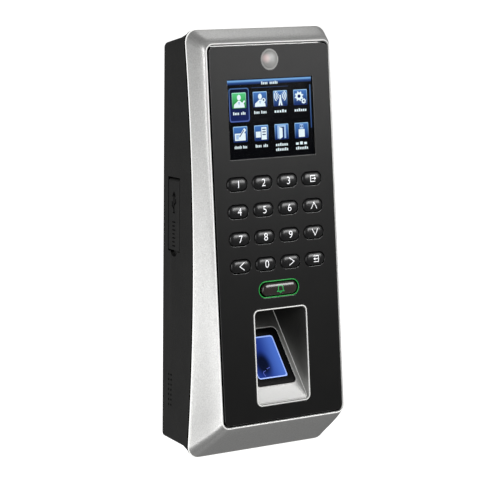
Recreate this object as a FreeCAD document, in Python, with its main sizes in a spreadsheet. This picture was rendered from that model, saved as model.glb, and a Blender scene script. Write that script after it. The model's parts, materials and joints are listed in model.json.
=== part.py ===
import FreeCAD, Part
import math
import os
import types
from FreeCAD import Placement, Rotation, Vector
import Sketcher

# A wall-mounted fingerprint terminal, in millimetres. +Z is up and the terminal stands out of the
# wall toward -Y. The origin is the middle of the four wall screws, on the wall plate's back face.
#
# Front pieces are drawn in the front panel's own frame: X across, Y up the panel, Z out of it,
# with zero at the screen's centre on the panel's outer face. The panel leans back by `tilt`.
# Rear pieces are drawn in the wall's frame: X across, Y up, Z out of the wall.

SIZES = {
    # the case
    "tilt": 5.3,                # the front panel's lean, degrees from the wall
    "screen_depth": 33.75,      # screen centre from the wall
    "screen_height": 59.85,     # screen centre above the origin
    "rim_width": 82.4,          # the silver frame's widest edge, where it meets the housing
    "rim_height": 203.5,
    "rim_corner": 6.5,
    "arch_radius": 850.0,       # the parting line between frame and housing is a long arc
    "arch_peak": 28.8,          # its furthest point from the wall
    "arch_drop": 20.0,          # and how far below the origin that is
    "lip_width": 72.3,          # the silver lip round the panel
    "lip_top": 35.6,
    "lip_bottom": 144.6,
    "lip_corner": 3.6,
    "lip_fall": 0.4,            # the lip's outer edge lies this far behind the panel's face
    "back_width": 77.2,         # the housing against the wall
    "back_top": 94.6,
    "back_bottom": 96.0,
    "back_corner": 2.5,
    "waist_width": 78.8,        # the housing where its flare begins
    "waist_top": 97.7,
    "waist_bottom": 97.6,
    "flare_depth": 8.0,
    "flare_width": 81.8,        # the housing's front edge
    "flare_height": 202.7,
    "shell": 2.2,
    # the front panel and what it carries
    "panel_width": 69.7,
    "panel_top": 34.5,
    "panel_bottom": 143.3,
    "panel_thickness": 2.5,
    "panel_corner": 2.7,
    "seal_thickness": 0.4,
    "ledge_thickness": 1.3,
    "window_width": 49.9,
    "window_height": 37.4,
    "window_thickness": 0.8,
    "window_corner": 0.6,
    "display_width": 57.0,
    "display_height": 43.0,
    "display_thickness": 4.7,
    "lens_height": 27.5,
    "lens_radius": 5.0,
    "key_pitch_across": 14.57,
    "key_pitch_down": 12.85,
    "key_first_row": 30.1,
    "key_hole_width": 12.2,
    "key_hole_height": 6.8,
    "key_gap": 0.25,
    "key_flange": 0.8,
    "key_crown": 0.9,
    "key_travel": 0.7,
    "bell_row": 80.9,
    "bell_width": 20.6,
    "bell_height": 6.1,
    "bell_crown": 1.2,
    "bell_ring_width": 23.8,
    "bell_ring_height": 8.0,
    "bell_ring_sink": 0.1,      # the light ring lies this far behind the panel's face
    "board_thickness": 1.6,
    "front_board_depth": 6.5,   # the front board's face behind the panel's face
    # the finger recess and its sensor
    "guide_width": 31.5,
    "guide_height": 46.0,
    "guide_middle": 113.0,
    "guide_wall": 1.05,
    "guide_proud": 0.35,
    "floor_angle": 32.0,
    "floor_middle": 114.75,
    "floor_depth": 13.3,
    "floor_thickness": 1.9,
    "sensor_width": 24.1,
    "sensor_length": 29.9,
    "glass_width": 17.8,
    "glass_length": 22.5,
    # the wall side
    "plate_width": 70.6,
    "plate_height": 172.0,
    "plate_thickness": 1.2,
    "wall_hole_across": 46.0,
    "wall_hole_up": 140.0,
    "wall_hole_radius": 2.2,
    "cable_width": 44.0,
    "cable_height": 36.0,
    "back_inner": 4.2,          # the housing's back wall ends this far from the wall
    "main_board_depth": 7.6,
    # the side cover
    "cover_length": 34.6,
    "cover_width": 9.6,
    "cover_middle": 13.7,
    "cover_depth": 9.4,
    "cover_thickness": 1.4,
    "cover_face": 38.95,
    "cover_barrel": 1.6,
    "pin_radius": 0.7,
}


class Size:
    """A number that remembers the sheet formula it comes from."""

    def __init__(self, value, formula):
        self.value = value
        self.formula = formula

    def join(self, other, sign, value):
        return Size(value, "(%s %s %s)" % (self.formula, sign, formula_of(other)))

    def __add__(self, other):
        return self.join(other, "+", self.value + number(other))

    def __radd__(self, other):
        return self + other

    def __sub__(self, other):
        return self.join(other, "-", self.value - number(other))

    def __mul__(self, other):
        return self.join(other, "*", self.value * number(other))

    def __truediv__(self, other):
        return self.join(other, "/", self.value / number(other))

    def __neg__(self):
        return Size(-self.value, "(0 - %s)" % self.formula)


def number(size):
    return size.value if isinstance(size, Size) else float(size)


def formula_of(size):
    return size.formula if isinstance(size, Size) else repr(float(size))


doc = FreeCAD.newDocument("fingerprint_terminal")
sheet = doc.addObject("Spreadsheet::Sheet", "sizes")
for row, (alias, amount) in enumerate(SIZES.items(), start=1):
    sheet.set("A%d" % row, alias)
    sheet.set("B%d" % row, str(amount))
    sheet.setAlias("B%d" % row, alias)
doc.recompute()
s = types.SimpleNamespace(**{alias: Size(amount, "sizes." + alias) for alias, amount in SIZES.items()})

SUBPARTS = []


def bind(target, path, size):
    """Tie one property to the sheet; a plain number needs no tie."""
    if isinstance(size, Size):
        target.setExpression(path, size.formula)


# ---------------------------------------------------------------- frames

TILT = math.radians(SIZES["tilt"])
FRONT = Placement(
    Vector(0, -SIZES["screen_depth"], SIZES["screen_height"]),
    Rotation(Vector(1, 0, 0), 90 - SIZES["tilt"]),
)
REAR = Placement(Vector(0, 0, 0), Rotation(Vector(1, 0, 0), 90))
SENSOR = FRONT.multiply(Placement(
    Vector(0, -SIZES["floor_middle"], -SIZES["floor_depth"]),
    Rotation(Vector(1, 0, 0), -SIZES["floor_angle"]),
))


def start_body(label, frame):
    body = doc.addObject("PartDesign::Body", label)
    body.Label = label
    body.Placement = frame
    if frame is FRONT:
        body.setExpression("Placement.Base.y", "-sizes.screen_depth")
        body.setExpression("Placement.Base.z", "sizes.screen_height")
        body.setExpression("Placement.Rotation.Angle", "90 - sizes.tilt")
    SUBPARTS.append(body)
    return body


def add_shape(label, shape):
    """A piece whose ruled or arched faces are made with Part's own functions."""
    piece = doc.addObject("Part::Feature", label)
    piece.Label = label
    piece.Shape = shape
    SUBPARTS.append(piece)
    return piece


# ---------------------------------------------------------------- sketches and features

def start_sketch(body, name, level, plane="XY_Plane"):
    """A sketch on one of the body's own planes, moved `level` along the plane's normal."""
    sketch = body.newObject("Sketcher::SketchObject", name)
    origin_plane = [f for f in body.Origin.OriginFeatures if f.Role == plane][0]
    sketch.AttachmentSupport = [(origin_plane, "")]
    sketch.MapMode = "FlatFace"
    sketch.AttachmentOffset = Placement(Vector(0, 0, number(level)), Rotation())
    bind(sketch, "AttachmentOffset.Base.z", level)
    return sketch


def hold(sketch, name, size, *what):
    """Add a named dimension and tie it to the sheet."""
    index = sketch.addConstraint(Sketcher.Constraint(*what, number(size)))
    sketch.renameConstraint(index, name)
    bind(sketch, "Constraints." + name, size)


def draw_rounded(sketch, width, height, corner, x=0.0, y=0.0):
    """A closed rounded rectangle, fully held by its width, height, corner radius and centre."""
    half_w = number(width) / 2
    half_h = number(height) / 2
    radius = number(corner)
    cx = number(x)
    cy = number(y)
    corners = [(1, -1, -90), (1, 1, 0), (-1, 1, 90), (-1, -1, 180)]
    ends = []
    for sign_x, sign_y, start in corners:
        centre = Vector(cx + sign_x * (half_w - radius), cy + sign_y * (half_h - radius), 0)
        circle = Part.Circle(centre, Vector(0, 0, 1), radius)
        arc = Part.ArcOfCircle(circle, math.radians(start), math.radians(start + 90))
        sketch.addGeometry(arc, False)
        ends.append((arc.StartPoint, arc.EndPoint))
    for index in range(4):
        sketch.addGeometry(Part.LineSegment(ends[index][1], ends[(index + 1) % 4][0]), False)
    for index in range(4):
        sketch.addConstraint(Sketcher.Constraint("Tangent", index, 2, 4 + index, 1))
        sketch.addConstraint(Sketcher.Constraint("Tangent", 4 + index, 2, (index + 1) % 4, 1))
        direction = "Horizontal" if index % 2 else "Vertical"
        sketch.addConstraint(Sketcher.Constraint(direction, 4 + index))
        if index:
            sketch.addConstraint(Sketcher.Constraint("Equal", 0, index))
    hold(sketch, "corner", corner, "Radius", 0)
    hold(sketch, "width", width, "DistanceX", 6, 1, 4, 1)
    hold(sketch, "height", height, "DistanceY", 7, 1, 5, 1)
    hold(sketch, "right", width / 2 + x, "DistanceX", -1, 1, 4, 1)
    hold(sketch, "top", height / 2 + y, "DistanceY", -1, 1, 5, 1)


def draw_circles(sketch, radius, centres):
    """Equal circles: the first is held by the sheet and the rest are equal to it."""
    for index, (x, y) in enumerate(centres):
        circle = Part.Circle(Vector(number(x), number(y), 0), Vector(0, 0, 1), number(radius))
        sketch.addGeometry(circle, False)
        if index:
            sketch.addConstraint(Sketcher.Constraint("Equal", 0, index))
        hold(sketch, "x%d" % index, x, "DistanceX", -1, 1, index, 3)
        hold(sketch, "y%d" % index, y, "DistanceY", -1, 1, index, 3)
    hold(sketch, "radius", radius, "Radius", 0)


def draw_polygon(sketch, points):
    """A closed outline of straight edges through the given points."""
    for index, point in enumerate(points):
        start = Vector(point[0], point[1], 0)
        end = Vector(*points[(index + 1) % len(points)], 0)
        sketch.addGeometry(Part.LineSegment(start, end), False)
    for index in range(len(points)):
        following = (index + 1) % len(points)
        sketch.addConstraint(Sketcher.Constraint("Coincident", index, 2, following, 1))
        sketch.addConstraint(Sketcher.Constraint("Block", index))


def pad(body, sketch, length, midplane=False):
    feature = body.newObject("PartDesign::Pad", sketch.Name + "_pad")
    feature.Profile = sketch
    feature.Length = number(length)
    bind(feature, "Length", length)
    feature.SideType = "Symmetric" if midplane else "One side"
    doc.recompute()
    return feature


def pocket(body, sketch, depth, midplane=False):
    """Cut against the sketch's normal, and make sure that something was cut."""
    before = body.Shape.Volume
    feature = body.newObject("PartDesign::Pocket", sketch.Name + "_cut")
    feature.Profile = sketch
    feature.Length = number(depth)
    bind(feature, "Length", depth)
    feature.SideType = "Symmetric" if midplane else "One side"
    doc.recompute()
    if body.Shape.Volume > before - 1e-3:
        raise RuntimeError("%s cuts nothing" % feature.Name)
    return feature


def slab(body, name, width, height, corner, bottom, thickness, x=0.0, y=0.0, plane="XY_Plane"):
    sketch = start_sketch(body, name, bottom, plane)
    draw_rounded(sketch, width, height, corner, x, y)
    return pad(body, sketch, thickness)


def opening(body, name, width, height, corner, top, depth, x=0.0, y=0.0, plane="XY_Plane"):
    sketch = start_sketch(body, name, top, plane)
    draw_rounded(sketch, width, height, corner, x, y)
    return pocket(body, sketch, depth)


def posts(body, name, radius, centres, bottom, thickness, plane="XY_Plane"):
    sketch = start_sketch(body, name, bottom, plane)
    draw_circles(sketch, radius, centres)
    return pad(body, sketch, thickness)


def bores(body, name, radius, centres, top, depth, plane="XY_Plane"):
    sketch = start_sketch(body, name, top, plane)
    draw_circles(sketch, radius, centres)
    return pocket(body, sketch, depth)


def round_edges(body, radius, chosen):
    """Fillet the edges of the body's tip that `chosen` picks out."""
    tip = body.Tip
    names = ["Edge%d" % (i + 1) for i, edge in enumerate(tip.Shape.Edges) if chosen(edge)]
    fillet = body.newObject("PartDesign::Fillet", body.Label + "_round")
    fillet.Base = (tip, names)
    fillet.Radius = number(radius)
    bind(fillet, "Radius", radius)
    doc.recompute()
    return fillet


def at_level(level):
    """Picks edges that lie flat at one height of their body."""
    def chosen(edge):
        box = edge.BoundBox
        return abs(box.ZMin - number(level)) < 1e-4 and abs(box.ZMax - number(level)) < 1e-4
    return chosen


def corner_places(x, y):
    return [(x, y), (-x, y), (x, -y), (-x, -y)]


# ---------------------------------------------------------------- arched shells

def rounded_wire(half_width, low, high, corner, frame):
    """A rounded rectangle in a frame's XY plane, as a wire of four lines and four arcs."""
    turn = corner * (1 - math.sqrt(0.5))
    edges = []
    arcs = []
    for sign_x, sign_y in ((1, -1), (1, 1), (-1, 1), (-1, -1)):
        edge_y = low if sign_y < 0 else high
        side = Vector(sign_x * half_width, edge_y - sign_y * corner, 0)
        middle = Vector(sign_x * (half_width - turn), edge_y - sign_y * turn, 0)
        flat = Vector(sign_x * (half_width - corner), edge_y, 0)
        first, last = (flat, side) if sign_x * sign_y < 0 else (side, flat)
        arcs.append((first, middle, last))
    for index in range(4):
        edges.append(Part.Arc(*arcs[index]).toShape())
        edges.append(Part.LineSegment(arcs[index][2], arcs[(index + 1) % 4][0]).toShape())
    wire = Part.Wire(edges)
    wire.Placement = frame
    return wire


def level_frame(frame, level):
    return frame.multiply(Placement(Vector(0, 0, level), Rotation()))


def arch_face(half_width, low, high, corner, inward=0.0):
    """A rounded rectangle laid on the arched parting surface, moved `inward` toward the wall."""
    radius = SIZES["arch_radius"]
    reach = 130.0
    peak = -SIZES["arch_peak"] + inward
    middle_z = -SIZES["arch_drop"]
    fall = radius - math.sqrt(radius ** 2 - reach ** 2)
    arc = Part.Arc(
        Vector(-60, peak + fall, middle_z - reach),
        Vector(-60, peak, middle_z),
        Vector(-60, peak + fall, middle_z + reach),
    ).toShape()
    surface = arc.extrude(Vector(120, 0, 0))
    outline = rounded_wire(half_width, low, high, corner, level_frame(REAR, -30))
    prism = Part.Face(outline).extrude(Vector(0, -100, 0))
    return surface.common(prism).Faces[0]


def ruled_solid(first, last):
    """The solid between two faces with matching outlines, its sides ruled."""
    sides = Part.makeLoft([first.OuterWire, last.OuterWire], False, True)
    shell = Part.makeShell(sides.Faces + [first, last])
    shell.sewShape(0.001)
    solid = Part.makeSolid(shell)
    if solid.Volume < 0:
        solid.reverse()
    return solid


def flat_face(half_width, low, high, corner, frame, level):
    return Part.Face(rounded_wire(half_width, low, high, corner, level_frame(frame, level)))


def rod(frame, x, y, bottom, top, radius):
    """A round post or hole along a frame's Z axis."""
    base = frame.multVec(Vector(x, y, bottom))
    return Part.makeCylinder(radius, top - bottom, base, frame.Rotation.multVec(Vector(0, 0, 1)))


def rounded_block(frame, half_width, low, high, corner, bottom, top):
    face = flat_face(half_width, low, high, corner, frame, bottom)
    return face.extrude(frame.Rotation.multVec(Vector(0, 0, top - bottom)))


def wall_box(x_low, x_high, z_low, z_high, depth_low, depth_high):
    """A box given by its reach across, its heights and its distances from the wall."""
    corner = Vector(x_low, -depth_high, z_low)
    return Part.makeBox(x_high - x_low, depth_high - depth_low, z_high - z_low, corner)


CASE_SCREWS = corner_places(31.5, 90.6)
CASE_SCREW_RADIUS = 1.4
CASE_POST_RADIUS = 3.6
CASE_POST_SPLIT = 16.0          # housing posts meet the frame's posts this far from the wall
CASE_SCREW_SEAT = 2.6
BOARD_SCREWS = corner_places(29.0, 76.0)
SCREW_RADIUS = 1.1
LOCK_SCREW_RADIUS = 1.35
LOCK_SCREW_DEPTH = 5.0
LOCK_SCREW_SEAT = -95.4
TAMPER = (24.0, -40.0)
USB_LOW = 12.0
USB_HIGH = 25.1
USB_NEAR = 6.55
USB_FAR = 12.25
RESET_HEIGHT = 2.0
PIN_HEIGHT = SIZES["cover_middle"] + SIZES["cover_length"] / 2 - SIZES["cover_barrel"]
PIN_X = -SIZES["cover_face"] + SIZES["cover_barrel"]
COVER_LOW = SIZES["cover_middle"] - SIZES["cover_length"] / 2
COVER_HIGH = SIZES["cover_middle"] + SIZES["cover_length"] / 2
COVER_NEAR = SIZES["cover_depth"] - SIZES["cover_width"] / 2
COVER_FAR = SIZES["cover_depth"] + SIZES["cover_width"] / 2
COVER_PLAY = 0.45


def make_bezel_frame():
    """The silver frame: a lip round the panel and a wide bevel back to the arched parting line."""
    half_rim = SIZES["rim_width"] / 2
    half_height = SIZES["rim_height"] / 2
    half_lip = SIZES["lip_width"] / 2
    top = SIZES["lip_top"]
    bottom = -SIZES["lip_bottom"]
    fall = SIZES["lip_fall"]
    lip = flat_face(half_lip, bottom, top, SIZES["lip_corner"], FRONT, -fall)
    rim = arch_face(half_rim, -half_height, half_height, SIZES["rim_corner"])
    ridge = flat_face(half_lip - 0.5, bottom + 0.5, top - 0.5, SIZES["lip_corner"] - 0.5, FRONT, 0)
    frame = ruled_solid(lip, rim).fuse(ruled_solid(lip, ridge))

    ledge = SIZES["panel_thickness"] + SIZES["seal_thickness"]
    inner_front = flat_face(35.0, -145.2, 36.6, 3.0, FRONT, -ledge - SIZES["ledge_thickness"])
    inner_back = arch_face(half_rim - 2.0, 2.0 - half_height, half_height - 2.0, 4.5, 0.5)
    hollow = ruled_solid(inner_front, inner_back)
    rings = frame.cut(hollow)

    window = rounded_block(FRONT, 33.2, -141.6, 32.8, 2.0, -8.0, 1.0)
    rings = rings.cut(window)
    for x, z in CASE_SCREWS:
        post = rod(REAR, x, z, CASE_POST_SPLIT, 50, CASE_POST_RADIUS).common(frame)
        rings = rings.fuse(post)
    seat = rounded_block(
        FRONT,
        SIZES["panel_width"] / 2 + 0.15,
        -SIZES["panel_bottom"] - 0.15,
        SIZES["panel_top"] + 0.15,
        SIZES["panel_corner"] + 0.15,
        -ledge,
        1.0,
    )
    rings = rings.cut(seat)
    for x, z in CASE_SCREWS:
        rings = rings.cut(rod(REAR, x, z, CASE_POST_SPLIT - 1, 25.5, CASE_SCREW_RADIUS))
    return add_shape("bezel_frame", rings.removeSplitter())


def make_rear_housing():
    """The black tray against the wall: tapered sides, a flared front edge and an open front."""
    shell = SIZES["shell"]
    waist_half = SIZES["waist_width"] / 2
    flare = SIZES["flare_depth"]
    back = flat_face(SIZES["back_width"] / 2, -SIZES["back_bottom"], SIZES["back_top"],
                     SIZES["back_corner"], REAR, 0)
    waist = arch_face(waist_half, -SIZES["waist_bottom"], SIZES["waist_top"], 3.0, flare)
    edge = arch_face(SIZES["flare_width"] / 2, -SIZES["flare_height"] / 2, SIZES["flare_height"] / 2, 6.2)
    outside = ruled_solid(back, waist).fuse(ruled_solid(waist, edge))

    inner_back = flat_face(SIZES["back_width"] / 2 - shell, shell - SIZES["back_bottom"],
                           SIZES["back_top"] - shell, 1.5, REAR, SIZES["back_inner"])
    inner_waist = arch_face(waist_half - shell, shell - SIZES["waist_bottom"],
                            SIZES["waist_top"] - shell, 1.5, flare)
    inner_edge = arch_face(SIZES["flare_width"] / 2 - shell, shell - SIZES["flare_height"] / 2,
                           SIZES["flare_height"] / 2 - shell, 4.0, -0.5)
    hollow = ruled_solid(inner_back, inner_waist).fuse(ruled_solid(inner_waist, inner_edge))
    tray = outside.cut(hollow)

    # the plate's seat, and behind it the room that the wall screws' heads need
    seat_w = SIZES["plate_width"] / 2 + 0.2
    seat_h = SIZES["plate_height"] / 2 + 0.2
    tray = tray.cut(rounded_block(REAR, seat_w, -seat_h, seat_h, 3.2, -1, SIZES["plate_thickness"]))
    tray = tray.cut(rounded_block(REAR, 32.0, -83.0, 83.0, 3.0, -1, 2.8))
    cable_w = SIZES["cable_width"] / 2 + 1
    cable_h = SIZES["cable_height"] / 2 + 1
    tray = tray.cut(rounded_block(REAR, cable_w, -cable_h, cable_h, 2.0, -1, 5.0))
    tray = tray.cut(wall_box(-9.0, 9.0, -seat_h, 4.0 - seat_h, -1, 5.0))

    # posts for the case screws and the main board
    for x, z in CASE_SCREWS:
        tray = tray.fuse(rod(REAR, x, z, 2.8, CASE_POST_SPLIT, CASE_POST_RADIUS).common(outside))
    for x, z in BOARD_SCREWS:
        tray = tray.fuse(rod(REAR, x, z, SIZES["back_inner"] - 0.2, SIZES["main_board_depth"], 3.0))
    for x, z in CASE_SCREWS:
        tray = tray.cut(rod(REAR, x, z, -1, CASE_POST_SPLIT + 1, CASE_SCREW_RADIUS + 0.1))
        tray = tray.cut(rod(REAR, x, z, -1, CASE_SCREW_SEAT, 2.9))
    for x, z in BOARD_SCREWS:
        tray = tray.cut(rod(REAR, x, z, 3.4, SIZES["main_board_depth"] + 1, SCREW_RADIUS))
    tray = tray.cut(rod(REAR, TAMPER[0], TAMPER[1], -1, 5.0, 1.7))

    # the wall plate's locking screw enters through the bottom
    entry = Vector(0, -LOCK_SCREW_DEPTH, -seat_h + 2)
    tray = tray.cut(Part.makeCylinder(LOCK_SCREW_RADIUS + 0.15, 20, entry, Vector(0, 0, -1)))
    seat = Vector(0, -LOCK_SCREW_DEPTH, LOCK_SCREW_SEAT)
    tray = tray.cut(Part.makeCylinder(2.9, 5, seat, Vector(0, 0, -1)))

    # the side cover's recess, its hinge pocket and the wall behind it
    depth = SIZES["cover_depth"]
    liner = wall_box(-38.0, -35.9, COVER_LOW - 2, COVER_HIGH + 2, 3.0, COVER_FAR + 2)
    hinge_block = wall_box(-38.0, -34.2, PIN_HEIGHT - 3, PIN_HEIGHT + 3.6, 3.0, COVER_FAR + 2)
    tray = tray.fuse(liner).fuse(hinge_block)
    recess_floor = -SIZES["cover_face"] + SIZES["cover_thickness"] + 0.15
    recess = wall_box(-45, recess_floor, COVER_LOW - COVER_PLAY, COVER_HIGH + COVER_PLAY,
                      COVER_NEAR - COVER_PLAY, COVER_FAR + COVER_PLAY)
    barrel_room = rod(REAR, PIN_X, PIN_HEIGHT, COVER_NEAR - COVER_PLAY, COVER_FAR + COVER_PLAY,
                      SIZES["cover_barrel"] + 0.25)
    notch = Part.makeCylinder(2.9, 20, Vector(-45, -depth, COVER_LOW), Vector(1, 0, 0))
    notch = notch.common(wall_box(-45, -36.9, COVER_LOW - 5, COVER_LOW + 1, 0, 20))
    tray = tray.cut(recess).cut(barrel_room).cut(notch)
    tray = tray.cut(rod(REAR, PIN_X, PIN_HEIGHT, COVER_NEAR - 1.6, COVER_FAR + 1.6, SIZES["pin_radius"]))
    tray = tray.cut(wall_box(-40, -34, USB_LOW - 0.2, USB_HIGH + 0.2, USB_NEAR - 0.2, USB_FAR + 0.2))
    tray = tray.cut(Part.makeCylinder(1.7, 8, Vector(-40, -depth, RESET_HEIGHT), Vector(1, 0, 0)))

    # the speaker's grille: two columns of seven holes low on the left side
    for column in range(2):
        for hole in range(7):
            place = Vector(-45, -(5.5 + 2.1 * column), -64.1 - 2.45 * hole)
            tray = tray.cut(Part.makeCylinder(0.6, 12, place, Vector(1, 0, 0)))
    return add_shape("rear_housing", tray.removeSplitter())


# ---------------------------------------------------------------- front panel and screen

FRONT_BOARD_SCREWS = [(20.0, 28.0), (-20.0, 28.0), (14.57, -36.5), (-14.57, -36.5),
                      (14.57, -62.2), (-14.57, -62.2)]
STADIUM = 0.02                  # the straight left between a stadium's two end arcs
KEY_NAMES = [
    ["1", "2", "3", "exit"],
    ["4", "5", "6", "up"],
    ["7", "8", "9", "down"],
    ["left", "0", "right", "menu"],
]


def row_height(row):
    return -s.key_first_row - s.key_pitch_down * row


def column_place(column):
    return s.key_pitch_across * (column - 1.5)


def panel_middle():
    return (s.panel_top - s.panel_bottom) / 2


def make_front_panel():
    body = start_body("front_panel", FRONT)
    slab(body, "panel_outline", s.panel_width, s.panel_top + s.panel_bottom, s.panel_corner,
         -s.panel_thickness, s.panel_thickness, y=panel_middle())
    posts(body, "board_posts", 2.6, FRONT_BOARD_SCREWS, -s.front_board_depth,
          s.front_board_depth - s.panel_thickness)
    bores(body, "post_bores", SCREW_RADIUS, FRONT_BOARD_SCREWS, -1.2, s.front_board_depth)
    opening(body, "screen_opening", s.window_width, s.window_height, s.window_corner,
            0.0, s.panel_thickness)
    opening(body, "display_pocket", s.display_width + 0.4, s.display_height + 0.4, s.window_corner,
            -s.window_thickness, s.panel_thickness)
    bores(body, "lens_bore", s.lens_radius, [(0.0, s.lens_height)], 0.0, s.panel_thickness)
    opening(body, "bell_opening", s.bell_ring_width, s.bell_ring_height,
            s.bell_ring_height / 2 - STADIUM, 0.0, s.panel_thickness, y=-s.bell_row)
    opening(body, "guide_opening", s.guide_width + 0.1, s.guide_height + 0.1, s.panel_corner + 0.15,
            0.0, s.panel_thickness, y=-s.guide_middle)
    for row in range(4):
        cut = opening(body, "key_opening_%d" % row, s.key_hole_width, s.key_hole_height,
                      s.key_hole_height / 2 - STADIUM, 0.0, s.panel_thickness,
                      x=column_place(0), y=row_height(row))
        pattern = body.newObject("PartDesign::LinearPattern", "key_columns_%d" % row)
        pattern.Originals = [cut]
        pattern.Direction = (cut.Profile[0], ["H_Axis"])
        pattern.Length = number(s.key_pitch_across * 3)
        bind(pattern, "Length", s.key_pitch_across * 3)
        pattern.Occurrences = 4
        body.Tip = pattern
        doc.recompute()


def make_panel_seal():
    body = start_body("panel_seal", FRONT)
    level = -s.panel_thickness
    slab(body, "seal_outline", s.panel_width - 0.2, s.panel_top + s.panel_bottom - 0.2, s.panel_corner,
         level - s.seal_thickness, s.seal_thickness, y=panel_middle())
    opening(body, "seal_window", s.panel_width - 3.2, s.panel_top + s.panel_bottom - 3.2, 1.8,
            level, s.seal_thickness, y=panel_middle())


def make_screen():
    window = start_body("screen_window", FRONT)
    slab(window, "window_outline", s.window_width, s.window_height, s.window_corner,
         -s.window_thickness, s.window_thickness)
    glass = start_body("lcd_panel", FRONT)
    glass_depth = s.window_thickness + 1.2
    slab(glass, "glass_outline", s.display_width - 3.6, s.display_height - 2.6, 0.5, -glass_depth, 1.2)
    frame = start_body("lcd_frame", FRONT)
    slab(frame, "frame_outline", s.display_width, s.display_height, 1.0,
         -s.window_thickness - s.display_thickness, s.display_thickness)
    opening(frame, "frame_pocket", s.display_width - 3.6, s.display_height - 2.6, 0.5,
            -s.window_thickness, 1.2)
    opening(frame, "frame_relief", s.window_width, s.window_height, 0.5,
            -s.window_thickness - 2.4, 0.8)
    lens = start_body("status_lens", FRONT)
    posts(lens, "lens_flange", s.lens_radius + 0.25, [(0.0, s.lens_height)], -s.panel_thickness - 1.0, 1.0)
    posts(lens, "lens_barrel", s.lens_radius, [(0.0, s.lens_height)], -s.panel_thickness,
          s.panel_thickness + 1.0)
    round_edges(lens, 0.9, at_level(1.0))
    led = start_body("status_led", FRONT)
    slab(led, "led_outline", s.lens_radius, s.lens_radius * 0.7, 0.3, -s.front_board_depth, 1.6,
         y=s.lens_height)


# ---------------------------------------------------------------- keypad

def make_key(label, x, y):
    """A crowned cap with rounded ends, held behind the panel by its flange."""
    body = start_body(label, FRONT)
    width = s.key_hole_width - s.key_gap * 2
    height = s.key_hole_height - s.key_gap * 2
    flange_top = -s.panel_thickness - 0.2
    slab(body, "flange", s.key_hole_width + s.key_flange * 2, s.key_hole_height + s.key_flange * 2,
         s.key_hole_height / 2 + s.key_flange - STADIUM, flange_top - 1.2, 1.2, x=x, y=y)
    slab(body, "cap", width, height, height / 2 - STADIUM, flange_top,
         s.key_crown + s.panel_thickness + 0.2, x=x, y=y)
    round_edges(body, 0.8, at_level(s.key_crown))


def make_bell():
    body = start_body("bell_button", FRONT)
    flange_top = -s.panel_thickness - 0.2
    slab(body, "flange", s.bell_width + 2.2, s.bell_height + 2.2, s.bell_height / 2 + 1.08,
         flange_top - 1.2, 1.2, y=-s.bell_row)
    slab(body, "cap", s.bell_width, s.bell_height, s.bell_height / 2 - STADIUM, flange_top,
         s.bell_crown + s.panel_thickness + 0.2, y=-s.bell_row)
    round_edges(body, 1.0, at_level(s.bell_crown))
    ring = start_body("bell_light_ring", FRONT)
    slab(ring, "ring_outline", s.bell_ring_width, s.bell_ring_height, s.bell_ring_height / 2 - STADIUM,
         -s.panel_thickness, s.panel_thickness - s.bell_ring_sink, y=-s.bell_row)
    opening(ring, "ring_window", s.bell_width + 0.5, s.bell_height + 0.5,
            s.bell_height / 2 + 0.25 - STADIUM, -s.bell_ring_sink, s.panel_thickness, y=-s.bell_row)


def make_membrane():
    """The silicone mat: a dome under each key, and clearance round the board's posts."""
    body = start_body("keypad_membrane", FRONT)
    mat = 0.8
    dome_top = -3.9 - number(s.key_travel) - 0.1
    slab(body, "mat_outline", 54.0, 63.0, 2.0, -s.front_board_depth, mat, y=-56.0)
    places = [(column_place(c), row_height(r)) for r in range(4) for c in range(4)]
    places.append((0.0, -s.bell_row))
    top_of_mat = -s.front_board_depth + mat
    posts(body, "domes", 2.4, places, top_of_mat, dome_top - number(top_of_mat))
    bores(body, "post_windows", 3.0, FRONT_BOARD_SCREWS[2:], top_of_mat, mat)


def make_front_board():
    body = start_body("front_board", FRONT)
    slab(body, "board_outline", 55.0, 121.5, 1.5, -s.front_board_depth - s.board_thickness,
         s.board_thickness, y=-27.75)
    bores(body, "screw_holes", SCREW_RADIUS + 0.1, FRONT_BOARD_SCREWS, -s.front_board_depth,
          s.board_thickness)
    back_face = -s.front_board_depth - s.board_thickness
    screws = start_body("front_board_screws", FRONT)
    posts(screws, "shanks", SCREW_RADIUS, FRONT_BOARD_SCREWS, back_face, s.board_thickness + 3.0)
    posts(screws, "heads", 2.2, FRONT_BOARD_SCREWS, back_face - 1.3, 1.3)
    antenna = start_body("card_antenna", FRONT)
    slab(antenna, "coil_outline", 54.0, 58.0, 4.0, back_face - 1.2, 1.2, y=-58.0)
    opening(antenna, "coil_window", 46.0, 50.0, 2.0, back_face, 1.2, y=-58.0)


# ---------------------------------------------------------------- finger recess

def floor_level(y):
    """The recess floor's depth at a height on the panel: deep at the top, shallow at the bottom."""
    slope = math.tan(math.radians(SIZES["floor_angle"]))
    return -SIZES["floor_depth"] - slope * (y + SIZES["floor_middle"])


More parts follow.
